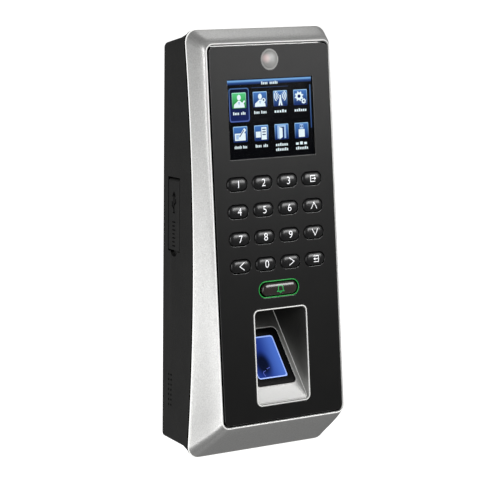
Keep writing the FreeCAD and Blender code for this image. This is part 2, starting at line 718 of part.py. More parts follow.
def make_finger_guide():
    """The silver tub: a rim on the panel, straight side walls and a floor sloping in and up."""
    body = start_body("finger_guide", FRONT)
    deepest = floor_level(-SIZES["guide_middle"] + SIZES["guide_height"] / 2) - 3.0
    slab(body, "tub_outline", s.guide_width, s.guide_height, s.panel_corner, deepest,
         SIZES["guide_proud"] - deepest, y=-s.guide_middle)
    slab(body, "tub_flange", s.guide_width + 3.0, s.guide_height + 3.0, 4.0,
         -s.panel_thickness - 0.8, 0.8, y=-s.guide_middle)
    low = -SIZES["guide_middle"] - SIZES["guide_height"] / 2
    high = low + SIZES["guide_height"]
    behind = SIZES["floor_thickness"] / math.cos(math.radians(SIZES["floor_angle"]))
    waste = start_sketch(body, "behind_floor", 0, "YZ_Plane")
    shelf = -SIZES["panel_thickness"] - 0.8
    draw_polygon(waste, [(low - 5, shelf), (low + 2.0, shelf), (low + 2.0, floor_level(low + 2.0) - behind),
                         (high + 5, floor_level(high + 5) - behind), (high + 5, deepest - 5),
                         (low - 5, deepest - 5)])
    pocket(body, waste, 60, midplane=True)
    wall = SIZES["guide_wall"]
    room = start_sketch(body, "finger_room", 0, "YZ_Plane")
    draw_polygon(room, [(low + wall, 3.0), (low + wall, floor_level(low + wall)),
                        (high - wall, floor_level(high - wall)), (high - wall, 3.0)])
    pocket(body, room, s.guide_width - s.guide_wall * 2, midplane=True)
    seat = body.newObject("Sketcher::SketchObject", "sensor_seat")
    plane = [f for f in body.Origin.OriginFeatures if f.Role == "XY_Plane"][0]
    seat.AttachmentSupport = [(plane, "")]
    seat.MapMode = "FlatFace"
    seat.AttachmentOffset = Placement(
        Vector(0, -SIZES["floor_middle"], -SIZES["floor_depth"]),
        Rotation(Vector(1, 0, 0), -SIZES["floor_angle"]),
    )
    draw_rounded(seat, s.sensor_width + 0.1, s.sensor_length + 0.1, 2.0)
    pocket(body, seat, 12, midplane=True)


def make_sensor():
    """The optical sensor, square to the sloping floor: frame, glass, housing and board."""
    thickness = s.floor_thickness
    frame = start_body("sensor_frame", SENSOR)
    slab(frame, "frame_outline", s.sensor_width, s.sensor_length, 1.9, -thickness, thickness + 0.3)
    opening(frame, "frame_window", s.glass_width, s.glass_length, 1.2, 0.3, thickness + 0.3)
    glass = start_body("sensor_window", SENSOR)
    slab(glass, "glass_outline", s.glass_width, s.glass_length, 1.2, -thickness, thickness - 0.5)
    housing = start_body("sensor_body", SENSOR)
    slab(housing, "body_outline", s.sensor_width + 1.9, s.sensor_length + 1.5, 1.0, -thickness - 8.0, 8.0)
    board = start_body("sensor_board", SENSOR)
    slab(board, "board_outline", s.sensor_width - 0.5, s.sensor_length - 2.5, 0.8, -thickness - 9.2, 1.2)


# ---------------------------------------------------------------- wall side

def make_back_plate():
    body = start_body("back_plate", REAR)
    slab(body, "plate_outline", s.plate_width, s.plate_height, 3.0, 0.0, s.plate_thickness)
    opening(body, "cable_opening", s.cable_width, s.cable_height, 2.0, s.plate_thickness,
            s.plate_thickness)
    holes = corner_places(s.wall_hole_across / 2, s.wall_hole_up / 2)
    bores(body, "wall_holes", s.wall_hole_radius, holes, s.plate_thickness, s.plate_thickness)
    flange_place = (s.plate_thickness - s.plate_height) / 2 + 0.1
    slab(body, "lock_flange", 16.0, s.plate_thickness, 0.2, 0.0, 8.5, y=flange_place)
    bores(body, "lock_hole", LOCK_SCREW_RADIUS, [(0.0, LOCK_SCREW_DEPTH)], s.plate_height / 2 + 1, 3.0,
          plane="XZ_Plane")


def make_lock_screw():
    """The small screw that locks the terminal to its wall plate, under the bottom edge."""
    head_radius = 2.6
    head_low = LOCK_SCREW_SEAT - 1.0
    head = Part.makeCylinder(head_radius, 1.0, Vector(0, -LOCK_SCREW_DEPTH, head_low))
    shank = Part.makeCylinder(LOCK_SCREW_RADIUS, 12.5, Vector(0, -LOCK_SCREW_DEPTH, LOCK_SCREW_SEAT))
    slot_corner = Vector(-0.4, -LOCK_SCREW_DEPTH - head_radius, head_low)
    slot = Part.makeBox(0.8, 2 * head_radius, 0.5, slot_corner)
    add_shape("plate_screw", head.fuse(shank).cut(slot).removeSplitter())


def make_case_screws():
    body = start_body("case_screws", REAR)
    posts(body, "shanks", CASE_SCREW_RADIUS, CASE_SCREWS, CASE_SCREW_SEAT, 22.0)
    posts(body, "heads", 2.6, CASE_SCREWS, CASE_SCREW_SEAT - 1.6, 1.6)
    bores(body, "sockets", 1.0, CASE_SCREWS, CASE_SCREW_SEAT - 0.8, 0.8)


def make_main_board():
    body = start_body("main_board", REAR)
    slab(body, "board_outline", 65.0, 164.0, 1.5, s.main_board_depth, s.board_thickness, y=1.0)
    front_face = s.main_board_depth + s.board_thickness
    opening(body, "connector_notch", 12.0, 29.0, 0.5, front_face, s.board_thickness, x=-28.0, y=11.8)
    bores(body, "screw_holes", SCREW_RADIUS + 0.1, BOARD_SCREWS, front_face, s.board_thickness)
    slab(body, "processor", 16.0, 16.0, 0.4, front_face, 1.4, x=4.0, y=42.0)
    slab(body, "memory", 9.0, 12.0, 0.3, front_face, 1.2, x=-12.0, y=44.0)
    screws = start_body("main_board_screws", REAR)
    posts(screws, "shanks", SCREW_RADIUS, BOARD_SCREWS, 4.0, front_face - 4.0)
    posts(screws, "heads", 2.4, BOARD_SCREWS, front_face, 1.4)


def make_board_parts():
    front_face = s.main_board_depth + s.board_thickness
    headers = start_body("wiring_headers", REAR)
    for index, x in enumerate((-12.0, 8.0)):
        slab(headers, "header_%d" % index, 17.0, 6.0, 0.3, 3.2, s.main_board_depth - 3.2, x=x, y=-8.0)
    cell = start_body("coin_cell", REAR)
    posts(cell, "cell", 8.0, [(20.0, 12.0)], front_face, 3.2)
    round_edges(cell, 0.4, at_level(number(front_face) + 3.2))
    relay = start_body("lock_relay", REAR)
    slab(relay, "relay_outline", 15.5, 19.0, 0.6, front_face, 15.0, x=20.0, y=-14.0)
    cable = start_body("board_cable", REAR)
    slab(cable, "lower_plug", 26.0, 5.0, 0.4, front_face, 3.0, y=67.0)
    slab(cable, "ribbon", 24.0, 0.8, 0.1, front_face, 14.0, y=67.0)
    switch = start_body("tamper_switch", REAR)
    slab(switch, "switch_outline", 6.0, 6.0, 0.4, 5.75, s.main_board_depth - 5.75,
         x=TAMPER[0], y=TAMPER[1])
    button = start_body("tamper_button", REAR)
    posts(button, "plunger", 1.5, [TAMPER], s.plate_thickness + 0.1, 3.7)
    posts(button, "collar", 2.3, [TAMPER], s.back_inner + 0.1, 0.6)


# ---------------------------------------------------------------- left side

def make_side_cover():
    """A flush cover that swings up on a pin through its rolled top edge."""
    body = start_body("side_cover", REAR)
    length = s.cover_length - s.cover_barrel
    slab(body, "cover_outline", length, s.cover_width, 0.4, -s.cover_face, s.cover_thickness,
         x=s.cover_middle - s.cover_barrel / 2, y=s.cover_depth, plane="YZ_Plane")
    barrel_x = s.cover_barrel - s.cover_face
    barrel_z = s.cover_middle + s.cover_length / 2 - s.cover_barrel
    near = s.cover_depth - s.cover_width / 2
    posts(body, "cover_barrel", s.cover_barrel, [(barrel_x, barrel_z)], near, s.cover_width)
    bores(body, "pin_bore", s.pin_radius + 0.06, [(barrel_x, barrel_z)], near + s.cover_width,
          s.cover_width)
    pin = start_body("cover_pin", REAR)
    posts(pin, "pin", s.pin_radius, [(barrel_x, barrel_z)], near - 1.5, s.cover_width + 3.0)


def make_usb_socket():
    """A full-size receptacle: a folded steel shell, open to the left, with a contact tongue."""
    outer = wall_box(-35.8, -22.2, USB_LOW, USB_HIGH, USB_NEAR, USB_FAR)
    room = wall_box(-37.0, -23.2, USB_LOW + 0.3, USB_HIGH - 0.3, USB_NEAR + 0.3, USB_FAR - 0.3)
    tongue = wall_box(-32.9, -22.4, USB_LOW + 1.0, USB_HIGH - 1.0, 9.9, 11.8)
    add_shape("usb_socket", outer.cut(room).fuse(tongue).removeSplitter())


def make_reset():
    body = start_body("reset_button", REAR)
    centre = [(RESET_HEIGHT, s.cover_depth)]
    posts(body, "stem", 1.5, centre, -37.3, 4.7, plane="YZ_Plane")
    posts(body, "collar", 2.2, centre, -35.7, 0.8, plane="YZ_Plane")
    switch = start_body("reset_switch", REAR)
    slab(switch, "switch_outline", 6.0, 6.0, 0.4, -32.0, 3.5,
         x=RESET_HEIGHT, y=s.cover_depth, plane="YZ_Plane")


def make_speaker():
    """A slim speaker behind the grille, its cone facing the holes."""
    body = start_body("speaker", REAR)
    slab(body, "case_outline", 26.0, 10.0, 2.0, -36.3, 3.2, x=-71.5, y=9.6, plane="YZ_Plane")
    opening(body, "cone", 22.0, 7.0, 3.0, -35.5, 0.8, x=-71.5, y=9.6, plane="YZ_Plane")


def main():
    make_bezel_frame()
    make_rear_housing()
    make_front_panel()
    make_panel_seal()
    make_screen()
    for row, names in enumerate(KEY_NAMES):
        for column, name in enumerate(names):
            make_key("key_" + name, column_place(column), row_height(row))
    make_bell()
    make_membrane()
    make_front_board()
    make_finger_guide()
    make_sensor()
    make_back_plate()
    make_lock_screw()
    make_case_screws()
    make_main_board()
    make_board_parts()
    make_side_cover()
    make_usb_socket()
    make_reset()
    make_speaker()
    doc.recompute()
    for item in doc.Objects:
        if "Invalid" in item.State or "Error" in item.State:
            raise RuntimeError("%s failed: %s" % (item.Label, item.State))
    for piece in SUBPARTS:
        if piece.Shape.isNull() or not piece.Shape.isValid():
            raise RuntimeError("%s has no valid shape" % piece.Label)
    os.makedirs("parts", exist_ok=True)
    for piece in SUBPARTS:
        piece.Shape.exportStep("parts/%s.step" % piece.Label)
        box = piece.Shape.BoundBox
        print("%-20s %9.1f mm3  x %6.1f %6.1f  y %6.1f %6.1f  z %7.1f %7.1f" % (
            piece.Label, piece.Shape.Volume, box.XMin, box.XMax, box.YMin, box.YMax, box.ZMin, box.ZMax))


main()
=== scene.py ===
"""The looks of a wall-mounted fingerprint terminal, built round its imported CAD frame.

Lengths are millimetres, and turn into metres in on_panel(), off_wall() and on_slope().
Panel: u across, v up the tilted front panel, w out of it, zero at the screen's centre.
Wall: x across, z up, h out of it. Slope, the finger recess's floor: x across, y up it, then height.
"""
import json
import math

import bmesh
import bpy
from mathutils import Euler, Matrix, Vector


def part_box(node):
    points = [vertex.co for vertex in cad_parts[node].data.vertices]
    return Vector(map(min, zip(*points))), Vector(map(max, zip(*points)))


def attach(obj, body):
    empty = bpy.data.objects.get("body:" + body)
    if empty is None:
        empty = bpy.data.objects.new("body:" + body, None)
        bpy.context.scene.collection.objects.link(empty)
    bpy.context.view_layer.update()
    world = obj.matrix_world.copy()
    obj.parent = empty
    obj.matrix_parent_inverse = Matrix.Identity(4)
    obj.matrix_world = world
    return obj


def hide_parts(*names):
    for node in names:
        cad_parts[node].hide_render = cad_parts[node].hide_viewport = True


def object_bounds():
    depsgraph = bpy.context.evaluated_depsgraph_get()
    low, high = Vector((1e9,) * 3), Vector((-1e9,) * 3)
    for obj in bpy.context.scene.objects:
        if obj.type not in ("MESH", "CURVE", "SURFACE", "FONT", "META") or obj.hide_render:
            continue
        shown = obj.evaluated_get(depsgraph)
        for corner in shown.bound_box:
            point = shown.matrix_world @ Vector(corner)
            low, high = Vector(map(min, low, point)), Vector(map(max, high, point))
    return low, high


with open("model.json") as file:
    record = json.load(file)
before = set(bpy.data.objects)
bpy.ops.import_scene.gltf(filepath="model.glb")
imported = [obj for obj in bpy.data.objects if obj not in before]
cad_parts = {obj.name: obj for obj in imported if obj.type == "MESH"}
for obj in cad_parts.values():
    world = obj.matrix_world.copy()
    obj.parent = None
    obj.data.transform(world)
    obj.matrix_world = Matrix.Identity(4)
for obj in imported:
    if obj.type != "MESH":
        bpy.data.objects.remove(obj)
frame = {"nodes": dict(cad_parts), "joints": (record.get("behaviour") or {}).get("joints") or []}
CAD_LOW, CAD_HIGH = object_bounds()

# ---- frames

MM = 0.001
ACROSS = Vector((1, 0, 0))
JOINTS = {joint["name"]: joint for joint in frame["joints"]}
OUT = -Vector(JOINTS["bell_press"]["axis"]).normalized()
UP = OUT.cross(ACROSS)
WINDOW_LOW, WINDOW_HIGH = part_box("screen_window")
WINDOW_THICKNESS = 0.8
SCREEN = (WINDOW_LOW + WINDOW_HIGH) / 2 + OUT * WINDOW_THICKNESS / 2 * MM

FLOOR_ANGLE = math.radians(32.0)
FLOOR_MIDDLE = -114.75
FLOOR_DEPTH = -13.3

ARCH_RADIUS = 850.0
ARCH_PEAK = 28.8
ARCH_HEIGHT = -20.0
LENS_ROW = 27.5
GUIDE_TOP = -90.0


def on_panel(u, v, w):
    return SCREEN + (ACROSS * u + UP * v + OUT * w) * MM


def off_wall(x, z, h):
    return Vector((x, -h, z)) * MM


def on_slope(x, y, height):
    v = FLOOR_MIDDLE + y * math.cos(FLOOR_ANGLE) + height * math.sin(FLOOR_ANGLE)
    w = FLOOR_DEPTH - y * math.sin(FLOOR_ANGLE) + height * math.cos(FLOOR_ANGLE)
    return on_panel(x, v, w)


def floor_level(v):
    return FLOOR_DEPTH - math.tan(FLOOR_ANGLE) * (v - FLOOR_MIDDLE)


def arch(z):
    """The arched parting line's distance from the wall at a height."""
    return ARCH_PEAK - ARCH_RADIUS + math.sqrt(ARCH_RADIUS ** 2 - (z - ARCH_HEIGHT) ** 2)


# ---- material nodes

NOISE_SPAN = (0.3, 0.7)  # the part of 0..1 that noise mostly fills
GRAIN_RELIEF = 0.00004  # bump distances, in metres
FLAKE_RELIEF = 0.00006
FLAKES = 1300.0  # metallic paint's grain, in features per metre


def grey(level):
    return level, level, level


def feed(tree, node, inputs):
    """Set a node's inputs to plain values or other nodes' outputs."""
    for name, value in inputs.items():
        if isinstance(value, bpy.types.NodeSocket):
            tree.links.new(value, node.inputs[name])
        else:
            node.inputs[name].default_value = value


def configure(thing, **settings):
    for name, value in settings.items():
        setattr(thing, name, value)
    return thing


def add_node(tree, kind, inputs, **settings):
    node = configure(tree.nodes.new("ShaderNode" + kind), **settings)
    feed(tree, node, inputs)
    return node.outputs


def new_material(name):
    material = bpy.data.materials.new(name)
    material.use_nodes = True
    return material, material.node_tree


def shader_of(material):
    return material.node_tree.nodes["Principled BSDF"]


def set_shader(material, inputs):
    feed(material.node_tree, shader_of(material), inputs)
    return material


def mix_colour(tree, factor, *colours):
    """Blend two colours, each a tuple or another node's output."""
    first, second = [(*colour, 1) if isinstance(colour, tuple) else colour for colour in colours]
    sockets = {0: factor, 6: first, 7: second}  # factor, A and B of a Mix node set to colours
    return add_node(tree, "Mix", sockets, data_type="RGBA")[2]


def mix_surfaces(tree, factor, first, second):
    """Blend two surfaces into the material's own."""
    layer = add_node(tree, "MixShader", {0: factor, 1: first, 2: second})[0]
    feed(tree, tree.nodes["Material Output"], {"Surface": layer})


def map_range(tree, value, source, target=(0.0, 1.0), kind="LINEAR"):
    ends = {"From Min": source[0], "From Max": source[1], "To Min": target[0], "To Max": target[1]}
    return add_node(tree, "MapRange", {"Value": value, **ends}, interpolation_type=kind)["Result"]


def object_place(tree):
    return add_node(tree, "TexCoord", {})["Object"]


def object_noise(tree, scale, detail=3.0, stretch=(1, 1, 1)):
    """Noise fixed to the object; scale is features per metre."""
    place = add_node(tree, "Mapping", {"Vector": object_place(tree), "Scale": stretch})["Vector"]
    return add_node(tree, "TexNoise", {"Vector": place, "Scale": scale, "Detail": detail})["Fac"]


def distance_ramp(tree, place, centre, stretch, near, far):
    """0 within `near` of a centre, rising smoothly to 1 at `far`."""
    for operation, value in (("SUBTRACT", centre), ("MULTIPLY", stretch)):
        place = add_node(tree, "VectorMath", {0: place, 1: value}, operation=operation)[0]
    length = add_node(tree, "VectorMath", {0: place}, operation="LENGTH")["Value"]
    return map_range(tree, length, (near, far), kind="SMOOTHSTEP")


# ---- materials

def plastic(name, colour, second, roughness, metallic=0.0, grain=2500.0, bump=0.1, patch=60.0,
        specular=0.5, coat=0.0, stretch=(1, 1, 1), relief=GRAIN_RELIEF):
    """A surface with fine grain in bump and roughness, and slow drift in colour."""
    material, tree = new_material(name)
    fine = object_noise(tree, grain, 3.0, stretch)
    drift = map_range(tree, object_noise(tree, patch, 2.0), NOISE_SPAN)
    return set_shader(material, {
        "Base Color": mix_colour(tree, drift, colour, second),
        "Roughness": map_range(tree, fine, NOISE_SPAN, roughness),
        "Metallic": metallic, "Specular IOR Level": specular, "Coat Weight": coat, "Coat Roughness": 0.08,
        "Normal": add_node(tree, "Bump", {"Strength": bump, "Distance": relief, "Height": fine})["Normal"],
    })


def silver_under_painted_shade(name, dark, pale, near, far):
    """Silver paint with painted shade: dark under the recess's top, fading to full silver lower down."""
    material = plastic(name, pale, pale, (0.4, 0.52), 0.6, FLAKES, 0.4, relief=FLAKE_RELIEF)
    tree = material.node_tree
    # painted shade that fades with distance below the recess's top
    depth = distance_ramp(tree, object_place(tree), on_panel(0, GUIDE_TOP, 0), (0, 0, 1), near, far)
    return set_shader(material, {"Base Color": mix_colour(tree, depth, dark, pale)})


def glow(name, colour, strength, base=grey(0.01), roughness=0.3):
    material = plastic(name, base, base, (roughness, roughness + 0.08), bump=0.02)
    return set_shader(material, {"Emission Color": (*colour, 1), "Emission Strength": strength})


def display_pixels():
    """Lit pixels in the mesh's colours, on a dark, dull surface."""
    material = glow("display_pixels", grey(0), 1.0, base=(0.0006, 0.0006, 0.0008), roughness=0.5)
    tint = add_node(material.node_tree, "VertexColor", {}, layer_name="tint")["Color"]
    return set_shader(material, {"Specular IOR Level": 0.02, "Emission Color": tint})


def window_glass():
    """A clear window, seen straight through, with a faint dull shine."""
    material, tree = new_material("window_glass")
    tree.nodes.remove(shader_of(material))
    clear = add_node(tree, "BsdfTransparent", {"Color": (0.96, 0.97, 0.98, 1)})[0]
    dullness = map_range(tree, object_noise(tree, 900.0), NOISE_SPAN, (0.12, 0.2))
    shine = add_node(tree, "BsdfGlossy", {"Roughness": dullness})[0]
    mix_surfaces(tree, add_node(tree, "Fresnel", {"IOR": 1.05})["Fac"], clear, shine)
    return material


def lens_plastic():
    """Smoked plastic with the status light's pinkish glow left of its middle, and a faint grey glow elsewhere
    that is painted light.
    """
    material = plastic("lens_plastic", (0.27, 0.27, 0.265), (0.32, 0.315, 0.31), (0.3, 0.38),
            grain=900.0, bump=0.04, patch=300.0, specular=0.6)
    tree = material.node_tree
    spot = on_panel(-2.5, LENS_ROW + 0.6, 1.0)
    fade = distance_ramp(tree, object_place(tree), spot, (1, 1, 1), 0.0004, 0.003)
    # beyond the status light's glow, a faint grey glow paints light on the dome
    light = mix_colour(tree, fade, (0.3, 0.19, 0.185), (0.03, 0.032, 0.03))
    return set_shader(material, {"Emission Color": light, "Emission Strength": 1.0})


def sensor_glass():
    """Blue-lit prism glass: brighter to the right, with a painted dark reflection near its middle."""
    material = glow("sensor_glass", (0.05, 0.12, 0.6), 1.0, base=(0.004, 0.008, 0.03), roughness=0.12)
    tree = material.node_tree
    place = add_node(tree, "Attribute", {}, attribute_name="face_place")["Vector"]
    across = distance_ramp(tree, place, (0.0, 0.5, 0), (1, 0, 0), 0.35, 1.0)
    lit = mix_colour(tree, across, (0.013, 0.036, 0.24), (0.07, 0.16, 0.58))
    # a painted dark reflection near the glass's middle
    dark_reflection = distance_ramp(tree, place, (0.33, 0.34, 0), (1.0, 0.85, 0), 0.12, 0.36)
    light = mix_colour(tree, dark_reflection, (0.0005, 0.001, 0.006), lit)
    return set_shader(material, {"Specular IOR Level": 0.02, "Emission Color": light})


# polished silver that glows as a painted highlight on the lip's ridge, the frame's rear edge and the tub's
# rim, crease and bead
HIGHLIGHT_SILVER = (0.8, 0.8, 0.78)
MATERIALS = {
    # satin metallic paint: fine bright flakes over a light grey base
    "silver": plastic("silver_paint", (0.56, 0.56, 0.55), (0.7, 0.7, 0.69), (0.36, 0.48), 0.85, FLAKES,
        0.5, 1700.0, relief=FLAKE_RELIEF),
    # the recess's wall and floor: silver with painted shade under the recess's top
    "tub_wall": silver_under_painted_shade("tub_wall_painted_shade", (0.075, 0.075, 0.072), (0.42, 0.42, 0.41), 0.01, 0.05),
    "tub_floor": silver_under_painted_shade("tub_floor_painted_shade", (0.14, 0.14, 0.135), (0.62, 0.62, 0.61), 0.001, 0.032),
    "edge": glow("silver_edge_painted_highlight", HIGHLIGHT_SILVER, 0.42, HIGHLIGHT_SILVER, 0.25),
    "rear_edge": glow("silver_rear_edge_painted_highlight", HIGHLIGHT_SILVER, 0.68, HIGHLIGHT_SILVER, 0.25),
    # near-black painted shade for gaps, the walls of openings, pockets and holes
    "cavity": plastic("cavity_plastic", grey(0.0015), grey(0.003), (0.85, 0.95), grain=2200.0, bump=0.2,
        specular=0.05),
    "panel": plastic("panel_plastic", grey(0.007), (0.0085, 0.0085, 0.0082), (0.4, 0.5), grain=2600.0,
        bump=0.18, patch=90.0, specular=0.24),
    "well_edge": plastic("panel_edge", grey(0.006), grey(0.008), (0.14, 0.2), grain=2600.0, bump=0.05,
        specular=1.0, coat=0.5),
    "housing": plastic("housing_plastic", (0.0098, 0.0098, 0.0094), (0.013, 0.013, 0.0123), (0.55, 0.72),
        grain=2200.0, bump=0.6, patch=120.0, specular=0.4),
    "key": plastic("key_plastic", (0.003, 0.003, 0.0035), (0.005, 0.005, 0.0055), (0.26, 0.32),
        grain=1800.0, bump=0.03, patch=150.0, coat=0.15),
    "bell": plastic("bell_plastic", (0.02, 0.013, 0.011), (0.028, 0.018, 0.015), (0.18, 0.25),
        grain=1800.0, bump=0.03, patch=150.0, specular=0.7, coat=0.4),
    "legend": glow("legend_ink", (0.9, 0.92, 0.95), 0.8, grey(0.7)),
    "bell_ink": glow("bell_ink", (0.02, 0.42, 0.09), 0.55, (0.02, 0.3, 0.06)),
    "ring": glow("ring_plastic", (0.012, 0.33, 0.055), 0.5, (0.02, 0.3, 0.05)),
    "dark": plastic("sensor_plastic", (0.002, 0.002, 0.0025), (0.004, 0.004, 0.0045), (0.45, 0.6),
        grain=2000.0, bump=0.15, specular=0.12),
    "lens": lens_plastic(),
    "display": display_pixels(),
    "window": window_glass(),
    "sensor_glass": sensor_glass(),
    "glass_edge": glow("glass_edge", (0.36, 0.52, 1.0), 0.85, (0.1, 0.15, 0.5)),
    "glass_streak": glow("glass_streak", (0.09, 0.13, 0.72), 0.9, (0.02, 0.03, 0.1)),
    "steel": plastic("plated_steel", (0.5, 0.5, 0.49), (0.58, 0.58, 0.56), (0.26, 0.44), 0.9, 1500.0,
        0.35, 220.0, stretch=(1, 1, 0.04)),
    # green solder mask with paler patches of copper under it
    "board": plastic("circuit_board", (0.012, 0.13, 0.05), (0.02, 0.2, 0.08), (0.25, 0.4), grain=1200.0,
        bump=0.15, patch=420.0),
    "relay_black": plastic("chip_epoxy", (0.012, 0.012, 0.013), (0.02, 0.02, 0.021), (0.45, 0.6), bump=0.2),
    "nylon": plastic("connector_plastic", (0.6, 0.58, 0.5), (0.68, 0.66, 0.58), (0.4, 0.55)),
    "relay": plastic("relay_plastic", (0.015, 0.05, 0.26), (0.02, 0.06, 0.3), (0.3, 0.45)),
    "silicone": plastic("silicone", (0.32, 0.33, 0.34), (0.4, 0.41, 0.42), (0.5, 0.65), bump=0.15),
    "foam": plastic("seal_foam", grey(0.01), grey(0.02), (0.8, 0.95), grain=1500.0, bump=0.8),
    "resin": plastic("led_resin", (0.7, 0.7, 0.5), (0.8, 0.8, 0.6), (0.2, 0.3), bump=0.05),
}


# ---- loops

SIDE_POINTS = 22
END_POINTS = 8
CORNER_POINTS = 8
PLAIN = {"side": 1, "end": 1}  # straight sides in one piece


def turned(radius, degrees):
    return radius * math.cos(math.radians(degrees)), radius * math.sin(math.radians(degrees))


def rounded_loop(half, low, high, corner, side=SIDE_POINTS, end=END_POINTS):
    """A rounded rectangle, counter-clockwise, with the same count of points for any size."""
    centres = [(half - corner, low + corner, -90), (half - corner, high - corner, 0),
            (corner - half, high - corner, 90), (corner - half, low + corner, 180)]
    points = []
    for index, (cx, cy, start) in enumerate(centres):
        for step in range(CORNER_POINTS + 1):
            x, y = turned(corner, start + 90 * step / CORNER_POINTS)
            points.append((cx + x, cy + y))
        next_x, next_y, next_start = centres[(index + 1) % 4]
        x, y = turned(corner, next_start)
        first, last = points[-1], (next_x + x, next_y + y)
        count = side if index % 2 == 0 else end
        for step in range(1, count):
            points.append(tuple(a + (b - a) * (step / count) for a, b in zip(first, last)))
    return points


def centred_loop(half, tall, inset, corner, **points):
    return rounded_loop(half - inset, inset - tall, tall - inset, corner, **points)


def stadium_loop(half_width, half_height, share=1.0, count=12):
    """A stadium, shrunk toward its middle line as share goes from 1 to 0."""
    reach = half_width - half_height
    radius = half_height * share
    points = []
    for cx, start in ((reach, -90), (-reach, 90)):
        for step in range(count + 1):
            x, y = turned(radius, start + 180 * step / count)
            points.append((cx + x, y))
        for step in range(1, 4):
            points.append((cx * (1 - step / 2), radius if start < 0 else -radius))
    return points


def circle_loop(radius, count=48):
    return [turned(radius, 360 * i / count) for i in range(count)]


def shifted(loop, du, dv):
    return [(u + du, v + dv) for u, v in loop]


def raised(loop, w):
    return [on_panel(u, v, w) for u, v in loop]


def over_floor(loop, height):
    return [on_slope(x, y, height) for x, y in loop]


def panel_ring(half, low, high, corner, w):
    return raised(rounded_loop(half, low, high, corner), w)


def arch_ring(half, tall, corner, back=0.0):
    """A loop on the arched parting line, moved `back` toward the wall."""
    return [off_wall(x, z, arch(z) - back) for x, z in centred_loop(half, tall, 0, corner)]


# ---- mesh building

WELD = 1e-6


def add_object(name, data):
    made = bpy.data.objects.new(name, data)
    bpy.context.scene.collection.objects.link(made)
    return made


def shaped_mesh(made):
    """An object's mesh as its modifiers or curve settings shape it."""
    bpy.context.view_layer.update()
    return bpy.data.meshes.new_from_object(made.evaluated_get(bpy.context.evaluated_depsgraph_get()))


def curve_mesh(kind, loops=(), **settings):
    """The mesh that a curve's settings make of closed loops, or of text."""
    curve = configure(bpy.data.curves.new("curve", kind), **settings)
    for loop in loops:
        spline = curve.splines.new("POLY")
        spline.points.add(len(loop) - 1)
        spline.use_cyclic_u = True
        for point, (u, v) in zip(spline.points, loop):
            point.co = (u * MM, v * MM, 0, 1)
    source = add_object("curve", curve)
    mesh = shaped_mesh(source)
    bpy.data.objects.remove(source)
    return mesh


def apply_modifier(made, kind, **settings):
    configure(made.modifiers.new("shaping", kind), **settings)
    shaped = shaped_mesh(made)
    made.modifiers.clear()
    made.data = shaped


def weld(mesh, flatten=False):
    """Join points that coincide, and clear edges across flats if asked."""
    work = bmesh.new()
    work.from_mesh(mesh)
    bmesh.ops.remove_doubles(work, verts=work.verts, dist=WELD)
    if flatten:
        bmesh.ops.dissolve_limit(work, angle_limit=math.radians(0.6), verts=work.verts, edges=work.edges)
    work.to_mesh(mesh)
    work.free()


def shade(made, smooth):
    """Turn faces outward, and shade them smooth but for edges over `smooth` degrees."""
    work = bmesh.new()
    work.from_mesh(made.data)
    bmesh.ops.recalc_face_normals(work, faces=work.faces)
    limit = math.radians(smooth)
    for face in work.faces:
        face.smooth = True
    for edge in work.edges:
        edge.smooth = len(edge.link_faces) == 2 and edge.calc_face_angle(0.0) < limit
    work.to_mesh(made.data)
    work.free()


def mesh_object(name, vertices, faces, material, smooth=40.0):
    mesh = bpy.data.meshes.new(name)
    mesh.from_pydata([tuple(v) for v in vertices], [], faces)
    mesh.validate()
    mesh.materials.append(MATERIALS[material])
    made = add_object(name, mesh)
    shade(made, smooth)
    return made


def ring_mesh(name, rings, material, closed=False, caps=(True, True), smooth=40.0):
    """Join a stack of matching loops; closed joins the last loop to the first."""
    count = len(rings[0])
    vertices = [point for ring in rings for point in ring]
    faces = []
    for level in range(len(rings) if closed else len(rings) - 1):
        lower = level * count
        upper = (level + 1) % len(rings) * count
        for index in range(count):
            after = (index + 1) % count
            faces.append((lower + index, lower + after, upper + after, upper + index))
    if not closed and caps[0]:
        faces.append(tuple(range(count))[::-1])
    if not closed and caps[1]:
        faces.append(tuple(range((len(rings) - 1) * count, len(rings) * count)))
    return mesh_object(name, vertices, faces, material, smooth)


def paint_bands(made, count, **bands):
    """Give bands of a ring_mesh(), counted from its first loop, other materials."""
    for slot, (material, levels) in enumerate(bands.items(), 1):
        made.data.materials.append(MATERIALS[material])
        for level in levels:
            for index in range(level * count, (level + 1) * count):
                made.data.polygons[index].material_index = slot


def paint(made, material):
    made.data.materials.clear()
    made.data.materials.append(MATERIALS[material])


def piece(made, body, slot, *nodes):
    """Hang a piece on its body and stand it in for its CAD nodes; slot is not used."""
    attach(made, body)
    if nodes:
        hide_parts(*nodes)


def joined(name, parts):
    """One mesh object from several."""
    work = bmesh.new()
    mesh = bpy.data.meshes.new(name)
    for part in parts:
        start = len(work.faces)
        work.from_mesh(part.data)
        work.faces.ensure_lookup_table()
        for face in work.faces[start:]:
            face.material_index += len(mesh.materials)
        for material in part.data.materials:
            mesh.materials.append(material)
        bpy.data.objects.remove(part)
    work.to_mesh(mesh)
    work.free()
    return add_object(name, mesh)


# ---- silver frame

PANEL_LOW = -143.3
PANEL_HIGH = 34.5
PANEL_HALF = 34.85
LIP_GAP = 0.47
LIP = [  # half width, corner and level of each loop, from the panel outward
    (35.14, 2.98, -2.9), (35.14, 2.98, -0.95), (35.22, 3.06, -0.62), (35.46, 3.3, -0.3),
    (35.74, 3.58, -0.06), (35.92, 3.76, -0.02), (36.08, 3.92, -0.12), (36.2, 4.04, -0.4),
]
